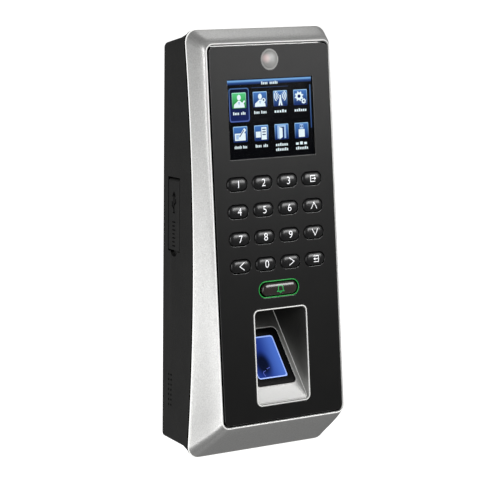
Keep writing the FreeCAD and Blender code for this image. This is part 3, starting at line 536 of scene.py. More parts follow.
# the lip's inner wall takes painted shade, its ridge a painted highlight
LIP_WALL_BANDS = (0, 1)
LIP_EDGE_BANDS = (4, 5, 6)
BEVEL_STEPS = 14
BEVEL_CROWN = 0.8  # how far the wide bevels bulge, a third of the way from the lip
CROWN_SCALE = 6.75  # makes share * (1 - share) ** 2 peak at 1
REAR_EDGE = [  # half sizes, corner and distance behind the parting line
    (41.16, 101.65, 6.5, -0.34), (41.18, 101.73, 6.5, -0.12), (41.02, 101.55, 6.4), (40.3, 100.8, 5.8),
    (39.2, 99.7, 4.5)]
FRAME_INSIDE = [  # half width, low end, high end, corner and level
    (35.4, -145.2, 36.6, 3.0, -4.2), (33.3, -141.7, 32.9, 2.0, -4.2), (33.3, -141.7, 32.9, 2.0, -2.9)]
PARTING_GAP = [
    (40.97, 101.42, 6.3, 0.02), (40.93, 101.38, 6.3, 1.2), (40.5, 100.9, 6.3, 1.2), (40.5, 100.9, 6.3, 0.02)]


def make_bezel():
    """Lip, wide bevels, and a rounded rear edge on the arched parting line."""
    rings = []
    for half, corner, w in LIP:
        grow = half - PANEL_HALF
        rings.append(panel_ring(half, PANEL_LOW - grow, PANEL_HIGH + grow, corner, w))
    bevel_start = panel_ring(36.34, -145.1, 35.98, 4.18, -0.78)
    bevel_end = arch_ring(41.02, 101.35, 6.4, -0.62)
    for step in range(BEVEL_STEPS + 1):
        share = step / BEVEL_STEPS
        crown = OUT * (BEVEL_CROWN * CROWN_SCALE * share * (1 - share) ** 2) * MM
        rings.append([a.lerp(b, share) + crown for a, b in zip(bevel_start, bevel_end)])
    rings += [arch_ring(*ring) for ring in REAR_EDGE]
    rings += [panel_ring(*ring) for ring in FRAME_INSIDE]
    made = ring_mesh("silver_frame", rings, "silver", closed=True, smooth=32)
    # painted shade on the lip's inner wall, painted highlights on its ridge and on the rear edge
    rear = len(LIP) + BEVEL_STEPS
    paint_bands(made, len(rings[0]), cavity=LIP_WALL_BANDS, edge=LIP_EDGE_BANDS,
            rear_edge=(rear, rear + 1, rear + 2))
    piece(made, "case", "silver_paint", "bezel_frame")
    # a dark ring that paints the shade in the gap where the frame meets the housing
    gap = ring_mesh("painted_parting_shade", [arch_ring(*ring) for ring in PARTING_GAP], "cavity", closed=True,
            smooth=32)
    piece(gap, "case", "housing_plastic")


# ---- front panel

KEY_PITCH_ACROSS = 14.57
KEY_PITCH_DOWN = 12.85
KEY_FIRST_ROW = -30.1
KEY_WELL = (6.1, 3.4)
BELL_ROW = -80.9
BELL_WELL = (11.9, 4.0)
GUIDE = (15.75, -136.0, GUIDE_TOP)
WINDOW = (24.95, 18.7)
LENS_RADIUS = 5.0
PANEL_THICKNESS = 2.5
PANEL_EDGE = 0.16  # radius of the rolled edge round every opening
PANEL_INSET = LIP_GAP - 0.17
WALL_TOP = -0.15  # below this the panel's openings get painted shade
FACE_LEVEL = -0.005
KEY_ROWS = ("1 2 3 exit", "4 5 6 up", "7 8 9 down", "left 0 right menu")


def key_centre(row, column):
    return KEY_PITCH_ACROSS * (column - 1.5), KEY_FIRST_ROW - KEY_PITCH_DOWN * row


def plate_mesh(name, loops):
    """A plate with rolled edges, from its outline and the loops of its holes."""
    mesh = curve_mesh("CURVE", loops, dimensions="2D", fill_mode="BOTH", bevel_depth=PANEL_EDGE * MM,
            extrude=(PANEL_THICKNESS / 2 - PANEL_EDGE) * MM, bevel_resolution=2,
            offset=-PANEL_EDGE * MM)
    for vertex in mesh.vertices:
        u, v, w = vertex.co / MM
        vertex.co = on_panel(u, v, w - PANEL_THICKNESS / 2)
    mesh.name = name
    weld(mesh)
    return mesh


def make_panel():
    """The black panel; every opening has a small rolled edge."""
    loops = [rounded_loop(PANEL_HALF - PANEL_INSET, PANEL_LOW + PANEL_INSET, PANEL_HIGH - PANEL_INSET, 2.6,
            **PLAIN)]
    loops += [shifted(stadium_loop(*KEY_WELL), *key_centre(row, column))
            for row in range(4) for column in range(4)]
    loops.append(shifted(stadium_loop(BELL_WELL[0] + 0.05, BELL_WELL[1] + 0.05), 0, BELL_ROW))
    loops.append(shifted(circle_loop(LENS_RADIUS + 0.06), 0, LENS_ROW))
    loops.append(rounded_loop(GUIDE[0] + 0.1, GUIDE[1] - 0.1, GUIDE[2] + 0.1, 2.9, **PLAIN))
    loops.append(centred_loop(*WINDOW, 0, 0.5, **PLAIN))
    made = add_object("black_panel", plate_mesh("black_panel", loops))
    paint(made, "panel")
    shade(made, 50)
    # large flat faces keep straight normals, and the small rolled edges bend toward them
    apply_modifier(made, "WEIGHTED_NORMAL", keep_sharp=True, weight=90)
    for material in ("cavity", "well_edge"):
        made.data.materials.append(MATERIALS[material])
    # the openings' walls take painted shade, their rolled rims a glossy edge
    for polygon in made.data.polygons:
        level = (polygon.center - SCREEN).dot(OUT) / MM
        polygon.material_index = 1 if level < WALL_TOP else 2 if level < FACE_LEVEL else 0
    piece(made, "case", "panel_plastic", "front_panel")


# ---- keys and bell button

DOME_POWER = 2.3
DOME_STEPS = 14
CAP_FOOT = [(1.13, -3.9), (1.13, -2.8), (1.0, -2.7)]  # share of the outline, and level
# the flange bands below the panel take painted shade
CAP_FLANGE_BANDS = (0, 1, 2)
KEY_DOME = ((5.75, 3.05), -0.55, 0.85)  # half sizes, edge level and top level
BELL_DOME = ((10.3, 3.05), -0.35, 1.2)
FIGURE_LIFT = 0.025
FIGURE_SIZE = 5.1
FIGURE_WEIGHT = -0.05
FIGURE_CUTS = 12
FIGURE_SHIFT = 0.25  # figures sit a little right of each key's middle
STROKE = 0.32
BELL_STROKE = 0.36
LEGENDS = {
    "up": [[(-1.65, -1.5), (0, 1.5), (1.65, -1.5)]],
    "down": [[(-1.65, 1.5), (0, -1.5), (1.65, 1.5)]],
    "left": [[(1.3, 1.75), (-1.3, 0), (1.3, -1.75)]],
    "right": [[(-1.3, 1.75), (1.3, 0), (-1.3, -1.75)]],
    "exit": [[(1.3, 1.4), (-1.4, 1.4), (-1.4, -1.4), (1.3, -1.4)],
        [(-0.6, 0), (1.5, 0)], [(0.9, 0.5), (1.5, 0), (0.9, -0.5)]],
    "menu": [[(-1.4, 1.4), (1.4, 1.4), (1.4, -1.4), (-1.2, -1.4)], [(-1.3, 0), (0.8, 0)],
        [(-0.7, 0.5), (-1.3, 0), (-0.7, -0.5)]],
}
BELL_SIGN = [
    [(-2.0, -1.25), (2.0, -1.25)],
    [(-2.0, -1.25), (-1.45, -0.6), (-1.3, 0.9), (-0.9, 1.4), (0.9, 1.4), (1.3, 0.9), (1.45, -0.6),
     (2.0, -1.25)],
    [(-0.55, -1.7), (0, -1.9), (0.55, -1.7)],
]
# the light ring's profile: a thin green band at the well's edge, and a dark skirt inside it that paints the
# shade in the gap round the cap
RING_BAND = [(0.0, -2.5), (0.0, -0.3), (-0.06, -0.16), (-0.2, -0.1), (-0.36, -0.12), (-0.44, -0.22)]
RING_SKIRT = [(-0.44, -0.22), (-0.52, -1.2), (-0.85, -1.5), (-1.25, -2.5), (0.0, -2.5)]


def dome_level(u, v, dome):
    """A crowned cap's level at a point measured from its middle."""
    (half_width, half_height), edge, top = dome
    beyond = max(abs(u) - (half_width - half_height), 0.0)
    share = min(math.hypot(beyond, v) / half_height, 1.0)
    return edge + (top - edge) * (1 - share ** DOME_POWER) ** (1 / DOME_POWER)


def on_dome(loop, centre, dome, lift=0.0):
    return [on_panel(u + centre[0], v + centre[1], dome_level(u, v, dome) + lift) for u, v in loop]


def make_cap(name, centre, dome, material):
    size, edge, _ = dome
    rings = [raised(shifted(stadium_loop(*size, share), *centre), w)
            for share, w in (*CAP_FOOT, (1.0, edge - 0.4))]
    for step in range(DOME_STEPS):
        share = math.cos(math.pi / 2 * step / DOME_STEPS)
        rings.append(on_dome(stadium_loop(*size, share), centre, dome))
    cap = ring_mesh(name, rings, material, smooth=50)
    paint_bands(cap, len(rings[0]), cavity=CAP_FLANGE_BANDS)
    return cap


def stroke_mesh(lines, width, piece_length=0.25):
    """Flat strokes along lines, cut short enough to follow a dome."""
    vertices = []
    faces = []
    for line in lines:
        for start, end in zip(line, line[1:]):
            run = Vector((end[0] - start[0], end[1] - start[1]))
            along = run.normalized() * width / 2
            side = Vector((-along.y, along.x))
            first = Vector(start) - along
            last = Vector(end) + along
            count = max(2, int((last - first).length / piece_length))
            for step in range(count + 1):
                middle = first.lerp(last, step / count)
                vertices += [middle + side, middle - side]
                if step:
                    base = len(vertices) - 4
                    faces.append((base, base + 1, base + 3, base + 2))
    return vertices, faces


def text_mesh(text):
    """A figure, cut finely enough to follow a dome."""
    work = bmesh.new()
    work.from_mesh(curve_mesh("FONT", body=text, size=FIGURE_SIZE, align_x="CENTER", align_y="CENTER",
            resolution_u=6, offset=FIGURE_WEIGHT))
    for axis in ((1, 0, 0), (0, 1, 0)):
        for step in range(-FIGURE_CUTS, FIGURE_CUTS + 1):
            cut = Vector(axis) * step * FIGURE_SIZE / FIGURE_CUTS
            bmesh.ops.bisect_plane(work, geom=work.verts[:] + work.edges[:] + work.faces[:], dist=1e-5,
                    plane_co=cut, plane_no=axis)
    work.verts.index_update()
    spans = [[vertex.co[axis] for vertex in work.verts] for axis in (0, 1)]
    middle = Vector([(min(span) + max(span)) / 2 for span in spans])
    vertices = [vertex.co.xy - middle for vertex in work.verts]
    faces = [tuple(vertex.index for vertex in face.verts) for face in work.faces]
    work.free()
    return vertices, faces


def lay_on_dome(name, shape, centre, dome, material):
    """Print a flat shape on a cap's crown."""
    points, faces = shape
    return mesh_object(name, on_dome(points, centre, dome, FIGURE_LIFT), faces, material)


def make_keys():
    for row, names in enumerate(KEY_ROWS):
        for column, name in enumerate(names.split()):
            centre = key_centre(row, column)
            body = "key_" + name
            piece(make_cap("cap_" + name, centre, KEY_DOME, "key"), body, "key_plastic", body)
            points, faces = stroke_mesh(LEGENDS[name], STROKE) if name in LEGENDS else text_mesh(name)
            shape = ([point + Vector((FIGURE_SHIFT, 0)) for point in points], faces)
            piece(lay_on_dome("legend_" + name, shape, centre, KEY_DOME, "legend"), body, "key_plastic")


def ring_band(name, material, profile):
    rings = [raised(shifted(stadium_loop(BELL_WELL[0] + grow, BELL_WELL[1] + grow), 0, BELL_ROW), w)
            for grow, w in profile]
    return ring_mesh(name, rings, material, caps=(False, False), smooth=50)


def make_bell():
    centre = (0, BELL_ROW)
    piece(make_cap("bell_cap", centre, BELL_DOME, "bell"), "bell_button", "key_plastic", "bell_button")
    sign = lay_on_dome("bell_sign", stroke_mesh(BELL_SIGN, BELL_STROKE), centre, BELL_DOME, "bell_ink")
    piece(sign, "bell_button", "ring_plastic")
    ring = joined("bell_ring", [ring_band("bell_light", "ring", RING_BAND),
            ring_band("bell_skirt", "dark", RING_SKIRT)])
    weld(ring.data)
    shade(ring, 50)
    piece(ring, "case", "ring_plastic", "bell_light_ring")


# ---- status lens

LENS_RIM = [(5.0, -2.5), (5.0, 0.02), (4.94, 0.12), (4.8, 0.18), (4.62, 0.18), (4.5, 0.12), (4.4, 0.16)]
LENS_DOME_RADIUS = 4.3
LENS_DOME_HEIGHT = 1.1
LENS_STEPS = 12


def make_lens():
    """A smoked dome inside a stepped rim."""
    profile = list(LENS_RIM)
    for step in range(LENS_STEPS + 1):
        angle = math.pi / 2 * step / LENS_STEPS
        profile.append((LENS_DOME_RADIUS * math.cos(angle) + 0.01, 0.2 + LENS_DOME_HEIGHT * math.sin(angle)))
    rings = [raised(shifted(circle_loop(radius), 0, LENS_ROW), w) for radius, w in profile]
    piece(ring_mesh("lens_dome", rings, "lens", smooth=60), "case", "lens_plastic", "status_lens")


# ---- finger recess

ROOM = (14.88, -135.13, -90.87)
ROOM_CORNER = 2.2
FILLET = 0.5
TUB_RIM = [(0.0, -2.5), (0.0, 0.02), (-0.06, 0.2), (-0.18, 0.32), (-0.34, 0.36), (-0.5, 0.3),
        (-0.62, 0.12), (-0.7, -0.18)]  # growth over the opening, and level
RIM_FOOT = TUB_RIM[-1][1]
SENSOR_BEAD = [(0.62, 0.0), (0.55, 0.14), (0.4, 0.24), (0.22, 0.2), (0.08, 0.05), (0.07, -1.9)]
TUB_WALL = 1.9  # the tub's wall, behind its floor
EDGE_BANDS = (2, 3, 4, 12, 17)  # the tub's bands with a painted highlight: rim, crease round the floor, bead
# bands of the tub's wall and floor that take painted shade
WALL_BANDS = (7, 8, 9, 10, 11)
FLOOR_BANDS = (13, 14, 15)

SENSOR = (12.05, 14.95)
GLASS = (8.9, 11.25)
GLASS_EDGE = 0.75
GLASS_LEVEL = -0.45
SURROUND = [(*SENSOR, 0.0, 2.6, -1.9), (*SENSOR, 0.0, 2.6, 0.05), (*SENSOR, 0.1, 2.5, 0.22),
        (*SENSOR, 0.35, 2.3, 0.3), (*GLASS, -0.35, 1.7, 0.3), (*GLASS, -0.1, 1.5, 0.2),
        (*GLASS, 0.0, 1.4, 0.0), (*GLASS, 0.0, 1.4, -1.9)]  # half sizes, inset, corner, height
STREAKS = [[(0.26, 0.03), (0.22, 0.1), (0.25, 0.15), (0.33, 0.17)], [(0.4, 0.21), (0.52, 0.24)]]
STREAK_WIDTH = 0.22


def make_recess():
    """The silver tub: rolled rim, straight walls and sloping floor."""
    half, low, high = GUIDE
    rings = [panel_ring(half + grow, low - grow, high + grow, 2.8 + grow * 0.6, w) for grow, w in TUB_RIM]
    # walls down to the floor, with a fillet where they meet it
    wall = rounded_loop(*ROOM, ROOM_CORNER)
    for share in (0.33, 0.66, 1.0):
        rings.append([on_panel(u, v, min(RIM_FOOT, RIM_FOOT + (floor_level(v) + FILLET) * share))
                for u, v in wall])
    for step in range(1, 6):
        angle = math.pi / 2 * step / 5
        inset = FILLET * (1 - math.cos(angle))
        lift = FILLET * (1 - math.sin(angle))
        loop = rounded_loop(ROOM[0] - inset, ROOM[1] + inset * 1.1, ROOM[2] - inset, ROOM_CORNER - inset * 0.4)
        rings.append([on_panel(u, v, min(RIM_FOOT - 0.1 * step, floor_level(v) + lift)) for u, v in loop])
    # a small raised bead round the sensor
    for grow, height in SENSOR_BEAD:
        rings.append(over_floor(centred_loop(*SENSOR, -grow, 2.6 + grow), height))
    # the tub's outside, behind the panel
    rings.append([on_panel(u, v, floor_level(v) - TUB_WALL) for u, v in
            rounded_loop(ROOM[0] - 1.0, ROOM[1] + 3.0, ROOM[2] - 1.0, 1.5)])
    rings.append([on_panel(u, v, min(-3.2, floor_level(v) - TUB_WALL)) for u, v in
            rounded_loop(half, low + 0.5, high, 2.8)])
    made = ring_mesh("finger_tub", rings, "silver", closed=True, smooth=36)
    # painted shade on the wall and floor bands, painted highlights on the rim, crease and bead
    paint_bands(made, len(rings[0]), tub_wall=WALL_BANDS, tub_floor=FLOOR_BANDS, edge=EDGE_BANDS)
    piece(made, "case", "silver_paint", "finger_guide")


def make_sensor():
    """Black frame and blue glass, whose face carries its own 0..1 coordinates."""
    rings = [over_floor(centred_loop(*loop), height) for *loop, height in SURROUND]
    piece(ring_mesh("sensor_surround", rings, "dark", closed=True), "case", "sensor_plastic", "sensor_frame")

    rings = [over_floor(centred_loop(*GLASS, inset, corner), height) for inset, corner, height in (
        (0.02, 1.38, -1.9), (0.02, 1.38, GLASS_LEVEL - 0.1), (GLASS_EDGE * 0.4, 1.38, GLASS_LEVEL),
        (GLASS_EDGE, 1.2, GLASS_LEVEL))]
    rim = ring_mesh("glass_rim", rings, "glass_edge", caps=(True, False))
    half, tall = GLASS[0] - GLASS_EDGE, GLASS[1] - GLASS_EDGE
    outline = centred_loop(*GLASS, GLASS_EDGE, 1.2)
    face = mesh_object("glass_face", over_floor(outline, GLASS_LEVEL), [tuple(range(len(outline)))],
            "sensor_glass")
    lines = [[((2 * x - 1) * half, (2 * y - 1) * tall) for x, y in streak] for streak in STREAKS]
    points, faces = stroke_mesh(lines, STREAK_WIDTH)
    streak = mesh_object("glass_streak", over_floor(points, GLASS_LEVEL + 0.02), faces, "glass_streak")
    made = joined("sensor_prism", [rim, streak, face])
    places = made.data.attributes.new("face_place", "FLOAT_VECTOR", "POINT").data
    for place, (x, y) in zip(places[len(places) - len(outline):], outline):
        place.vector = ((x / half + 1) / 2, (y / tall + 1) / 2, 0)
    configure(made, visible_diffuse=False, visible_glossy=False)
    piece(made, "case", "sensor_glass", "sensor_window")


# ---- display

LCD = (24.48, 18.36)
LCD_GLASS = (26.7, 20.2)
LCD_LEVEL = -0.74
LAYER = 0.008
TILE = (0.0825, 0.1)
TILE_COLUMNS = (0.129, 0.377, 0.62, 0.862)
TILE_ROWS = (0.258, 0.688)
BLACK = (0.0004, 0.0005, 0.0012)
WHITE = (0.86, 0.98, 1.0)
MILK = (0.4, 0.58, 0.84)
BLUE = (0.005, 0.02, 0.125)
GREEN = (0.015, 0.2, 0.03)
BLUE_TILE = ((0.4, 0.68, 0.98), (0.06, 0.19, 0.52), BLUE)  # rim, upper and lower colours
GREEN_TILE = ((0.45, 0.92, 0.7), (0.1, 0.62, 0.22), GREEN)
TITLE_SHINE = (0.22, 0.48, 0.84)
TITLE_SHADE = (0.025, 0.08, 0.28)
SIGN_LEVEL = 5
CAPTION_LEVEL = 8
CAPTIONS = ((4, 3), (4, 4), (5,), (6,), (7, 4), (4, 3), (6,), (3,))  # strokes in each word
PICTURE_BLOCKS = [  # left, top, right, bottom, upper and lower colours, level, corner
    (0, 0, 1, 1, BLACK, BLACK, 0),
    (0, 0, 1, 0.01, (0.08, 0.2, 0.44), TITLE_SHINE, 1),
    (0, 0.01, 1, 0.034, TITLE_SHINE, TITLE_SHADE, 1),
    (0, 0.034, 1, 0.062, TITLE_SHADE, (0.001, 0.004, 0.025), 1),
]
MENU_BLOCKS = [  # line under the title, scroll bar, then the marked tile's rim and field
    (0.28, 0.102, 0.72, 0.109, (0.04, 0.08, 0.18), (0.02, 0.03, 0.09), 2),
    (0.978, 0.1, 0.99, 0.66, (0.08, 0.17, 0.36), (0.03, 0.08, 0.26), 2),
    (0.012, 0.1, 0.248, 0.532, (0.07, 0.15, 0.34), (0.08, 0.13, 0.42), 1, 0.024),
    (0.022, 0.114, 0.238, 0.516, (0.001, 0.004, 0.022), (0.006, 0.014, 0.1), 2, 0.02),
]


class Picture:
    """Flat coloured polygons on the lit area, higher levels nearer the viewer."""

    def __init__(self):
        self.vertices, self.faces, self.tints = [], [], []
        self.tile = (0.5, 0.5)

    def polygon(self, points, tints, level):
        """x and y run 0..1 from the lit area's top left corner."""
        base = len(self.vertices)
        for x, y in points:
            u, v = LCD[0] * (2 * x - 1), LCD[1] * (1 - 2 * y)
            self.vertices.append(on_panel(u, v, LCD_LEVEL + level * LAYER))
        self.tints += tints if isinstance(tints, list) else [tints] * len(points)
        self.faces.append(tuple(range(base, base + len(points))))

    def block(self, left, top, right, bottom, upper, lower, level, corner=0.0):
        """A rectangle shaded from an upper to a lower colour."""
        tall = corner * LCD[0] / LCD[1]
        points = []
        for cx, cy, start in ((right - corner, bottom - tall, 0), (left + corner, bottom - tall, 90),
                (left + corner, top + tall, 180), (right - corner, top + tall, 270)):
            for step in range(5 if corner else 1):
                x, y = turned(1, start + 90 * step / 4)
                points.append((cx + corner * x, cy + tall * y))
        tints = []
        for _, y in points:
            share = (y - top) / (bottom - top)
            tints.append(tuple(a + (b - a) * share for a, b in zip(upper, lower)))
        self.polygon(points, tints, level)

    def shape(self, points, tint, layer=0):
        """A polygon in the current tile's coordinates, -1..1 with b upward."""
        x, y = self.tile
        self.polygon([(x + a * TILE[0], y - b * TILE[1]) for a, b in points], tint, SIGN_LEVEL + layer)

    def bar(self, left, bottom, right, top, tint, layer=0):
        self.shape([(left, bottom), (left, top), (right, top), (right, bottom)], tint, layer)

    def dot(self, a, b, across, up, tint, layer=0, count=18):
        ring = [turned(1, 360 * i / count) for i in range(count)]
        self.shape([(a + across * x, b + up * y) for x, y in ring], tint, layer)

    def arc(self, b, radius, width, start, turn, count=8):
        outline = []
        for reach, order in ((radius, range(count + 1)), (radius + width, range(count, -1, -1))):
            outline += shifted([turned(reach, start + turn * i / count) for i in order], 0, b)
        self.shape(outline, WHITE)

    def gear(self, a, b, radius, teeth):
        outline = []
        for tooth in range(teeth):
            for share, reach in ((0.08, 1.0), (0.22, 1.3), (0.5, 1.3), (0.64, 1.0)):
                outline.append(turned(radius * reach, 360 * (tooth + share) / teeth))
        self.shape(shifted(outline, a, b), WHITE)
        self.dot(a, b, radius * 0.45, radius * 0.45, BLUE, 1)

    def person(self):
        self.dot(0, 0.38, 0.27, 0.36, WHITE)
        self.shape([(-0.78, -0.92), (-0.72, -0.5), (-0.34, -0.22), (-0.14, -0.02), (0.14, -0.02),
                (0.34, -0.22), (0.72, -0.5), (0.78, -0.92)], WHITE)
        self.shape([(-0.16, -0.2), (0.0, -0.62), (0.16, -0.2)], MILK, 1)

    def caption(self, drop, width, words):
        """A caption as short pale strokes instead of letters."""
        x, y = self.tile
        step = width / (sum(words) + len(words) - 1)
        place = 0
        for word in words:
            for index in range(word):
                tall = 0.024 if (index * 5 + word) % 4 == 0 else 0.015
                start = x - width / 2 + step * place
                ends = (start, y + drop - tall, start + step * 0.66, y + drop + 0.014)
                self.block(*ends, WHITE, WHITE, CAPTION_LEVEL)
                place += 1
            place += 1


def draw_tiles(menu, tiles):
    width, height = TILE
    for index, (x, y) in enumerate(tiles):
        menu.tile = (x, y)
        edge, lit, deep = BLUE_TILE if index else GREEN_TILE
        menu.block(x - width, y - height, x + width, y + height, edge, deep, 3, corner=0.008)
        menu.block(x - width * 0.93, y - height * 0.9, x + width * 0.93, y + height * 0.93, lit, deep, 4)
        menu.caption(0.168, 0.15, CAPTIONS[index])
        if index > 5:
            menu.caption(0.23, 0.15, (7,))


def draw_signs(menu, tiles):
    """Plain pictograms: two people, a mast, gears, a pencil, pages, a door and a memory stick."""
    shape, bar, dot = menu.shape, menu.bar, menu.dot
    menu.tile = tiles[0]
    menu.person()
    shape([(0.22, -0.78), (0.3, -0.48), (0.72, 0.02), (0.88, -0.12), (0.46, -0.66)], WHITE, 2)
    menu.tile = tiles[1]
    menu.person()
    dot(0.5, -0.12, 0.3, 0.28, WHITE, 2)
    dot(0.5, -0.08, 0.13, 0.13, BLUE, 3)
    menu.tile = tiles[2]
    shape([(-0.3, -0.92), (-0.07, 0.22), (0.07, 0.22), (0.3, -0.92), (0.1, -0.92), (0, -0.55),
           (-0.1, -0.92)], WHITE)
    dot(0, 0.32, 0.13, 0.13, WHITE)
    for radius in (0.3, 0.54, 0.78):
        for start in (-48, 132):
            menu.arc(0.32, radius, 0.12, start, 96)
    menu.tile = tiles[3]
    menu.gear(-0.18, 0.14, 0.5, 8)
    menu.gear(0.48, -0.52, 0.28, 7)
    menu.tile = tiles[4]
    bar(-0.8, -0.8, 0.72, 0.12, WHITE)
    shape([(-0.64, -0.64), (-0.64, -0.04), (0.1, -0.04), (-0.2, -0.64)], MILK, 1)
    shape([(-0.3, -0.6), (-0.22, -0.26), (0.55, 0.78), (0.84, 0.52), (0.06, -0.48)], WHITE, 2)
    shape([(-0.18, -0.3), (0.46, 0.56), (0.54, 0.48), (-0.1, -0.38)], BLUE, 3)
    menu.tile = tiles[5]
    bar(-0.8, -0.55, -0.1, 0.2, WHITE)
    bar(0.0, -0.85, 0.76, 0.75, WHITE)
    for b in (0.45, 0.12, -0.21):
        bar(0.14, b - 0.07, 0.62, b + 0.07, BLUE, 1)
    menu.tile = tiles[6]
    bar(-0.62, -0.85, 0.62, 0.85, MILK)
    bar(-0.34, -0.85, 0.36, 0.62, BLUE, 1)
    shape([(-0.34, -0.95), (-0.34, 0.62), (0.12, 0.46), (0.12, -0.7)], WHITE, 2)
    menu.tile = tiles[7]
    bar(-0.44, -0.85, 0.44, 0.16, WHITE)
    bar(-0.26, 0.22, 0.26, 0.8, MILK)
    for a in (-0.13, 0.13):
        bar(a - 0.07, 0.44, a + 0.07, 0.64, BLUE, 1)


def make_picture():
    """The menu: title bar, scroll bar and eight tiles, the first one marked, all unlettered."""
    menu = Picture()
    for block in PICTURE_BLOCKS:
        menu.block(*block)
    menu.tile = (0.5, 0.054)
    menu.caption(0, 0.2, (4, 5))
    for block in MENU_BLOCKS:
        menu.block(*block)
    tiles = [(column, row) for row in TILE_ROWS for column in TILE_COLUMNS]
    draw_tiles(menu, tiles)
    draw_signs(menu, tiles)
    made = mesh_object("menu_picture", menu.vertices, menu.faces, "display")
    for polygon in made.data.polygons:
        if polygon.normal.dot(OUT) < 0:
            polygon.flip()
    layer = made.data.color_attributes.new("tint", "FLOAT_COLOR", "POINT")
    for pixel, tint in zip(layer.data, menu.tints):
        pixel.color = (*tint, 1)
    piece(made, "case", "display_image")


def make_display():
    make_picture()
    rings = [raised(centred_loop(*LCD_GLASS, 0, 0.5), w) for w in (-2.0, LCD_LEVEL - 0.06)]
    piece(ring_mesh("lcd_glass", rings, "dark"), "case", "display_image", "lcd_panel")
    rings = [raised(centred_loop(*WINDOW, inset, 0.5), w)
            for inset, w in ((0.03, -0.45), (0.03, -0.16), (0.1, -0.05), (0.22, -0.01))]
    piece(ring_mesh("clear_window", rings, "window"), "case", "window_glass", "screen_window")


# ---- housing and side cover

COVER_INSET = 0.3  # how much smaller the shown cover is than its pocket's CAD cover
MARK_LIFT = 0.1
MARK_WIDTH = 0.55
MARK_BARS = 7
BAR_PITCH = 1.9
PLUG_SIGN = [
    [(0, -5.0), (0, 4.0)], [(-1.0, 2.8), (0, 4.6), (1.0, 2.8)], [(0, -1.6), (1.4, -0.2), (1.4, 1.4)],
    [(0, -3.2), (-1.4, -1.8), (-1.4, 0.0)], [(-0.5, -5.0), (0.5, -5.0)],
]
POCKET_MARGIN = 1.2 * MM


def refined(name, node, edge, body):
    """A CAD node's own shape with its hard edges rounded over."""
    mesh = frame["nodes"][node].data.copy()
    mesh.name = name
    weld(mesh, flatten=True)
    made = add_object(name, mesh)
    apply_modifier(made, "BEVEL", width=edge * MM, segments=2, limit_method="ANGLE",
            angle_limit=math.radians(28.0), use_clamp_overlap=True)
    paint(made, "housing")
    shade(made, 40)
    piece(made, body, "housing_plastic", node)
    return made


def blacken_pocket(shell, low, high):
    """Paint shade into the groove round the side cover and into its pocket."""
    shell.data.materials.append(MATERIALS["cavity"])
    for polygon in shell.data.polygons:
        middle = polygon.center
        inside = all(low[axis] - POCKET_MARGIN < middle[axis] < high[axis] + POCKET_MARGIN
                for axis in (1, 2))
        if inside and low.x + 0.25 * MM < middle.x < high.x + 2 * MM:
            polygon.material_index = 1


def make_cover_marks(low, high):
    """Raised signs: a generic plug above a column of short bars, black with painted shade for the embossing.
    """
    middle = (low + high) / 2
    height = (high.z - low.z) / MM
    lines = [shifted(line, 0, height * 0.17) for line in PLUG_SIGN]
    for bar in range(MARK_BARS):
        b = -height * 0.27 + BAR_PITCH * (bar - MARK_BARS // 2)
        lines.append([(-0.9, b), (0.9 - 0.5 * (bar % 2), b)])
    points, faces = stroke_mesh(lines, MARK_WIDTH, 2.0)
    placed = [Vector((low.x - MARK_LIFT * MM, middle.y - a * MM, middle.z + b * MM)) for a, b in points]
    piece(mesh_object("cover_marks", placed, faces, "cavity"), "side_cover", "housing_plastic")


def make_wall_side():
    low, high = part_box("side_cover")
    blacken_pocket(refined("housing_shell", "rear_housing", 0.25, "case"), low, high)
    cover = refined("socket_cover", "side_cover", 0.3, "side_cover")
    middle = (low + high) / 2
    for vertex in cover.data.vertices:
        for axis in (1, 2):
            reach = (high[axis] - low[axis]) / 2
            vertex.co[axis] = middle[axis] + (vertex.co[axis] - middle[axis]) * (1 - COVER_INSET * MM / reach)
    make_cover_marks(low, high)


# ---- parts seen through the cable opening

HEADER_WIDTH = 17.0
HEADER_HEIGHT = 6.0
HEADER_PINS = 6
CHIPS = [(-13.0, 9.0, 9.0, 7.0, 1.3), (4.0, 10.5, 6.0, 5.0, 1.1), (14.0, 3.5, 4.2, 3.4, 1.0)]
LEG_PITCH = 1.2
SMALL_PARTS = 14


def small_box(name, material, x, z, width, height, near, far, corner=0.25):
    """A small box with an eased outer edge; near and far are measured from the wall."""
    rings = []
    for inset, level in ((0.0, far), (0.0, near + 0.2), (0.2, near)):
        loop = centred_loop(width / 2, height / 2, inset, corner, **PLAIN)
        rings.append([off_wall(x + a, z + b, level) for a, b in loop])
    return ring_mesh(name, rings, material)


def make_header_sockets():
    """Wire entries on the two headers as blocks of painted shade, with a plated pin in each."""
    low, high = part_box("wiring_headers")
    face = -high.y / MM
    z = (low.z + high.z) / 2 / MM
    parts = []
    for start in (low.x / MM, high.x / MM - HEADER_WIDTH):
        for pin in range(HEADER_PINS):
            x = start + HEADER_WIDTH * (pin + 0.5) / HEADER_PINS
            parts.append(small_box("entry", "cavity", x, z, 2.1, HEADER_HEIGHT - 2.4, face - 0.05,
                    face + 0.3))
            parts.append(small_box("pin", "steel", x, z, 0.8, 0.8, face - 0.45, face + 0.3, 0.1))
    piece(joined("header_entries", parts), "case", "connector_plastic")


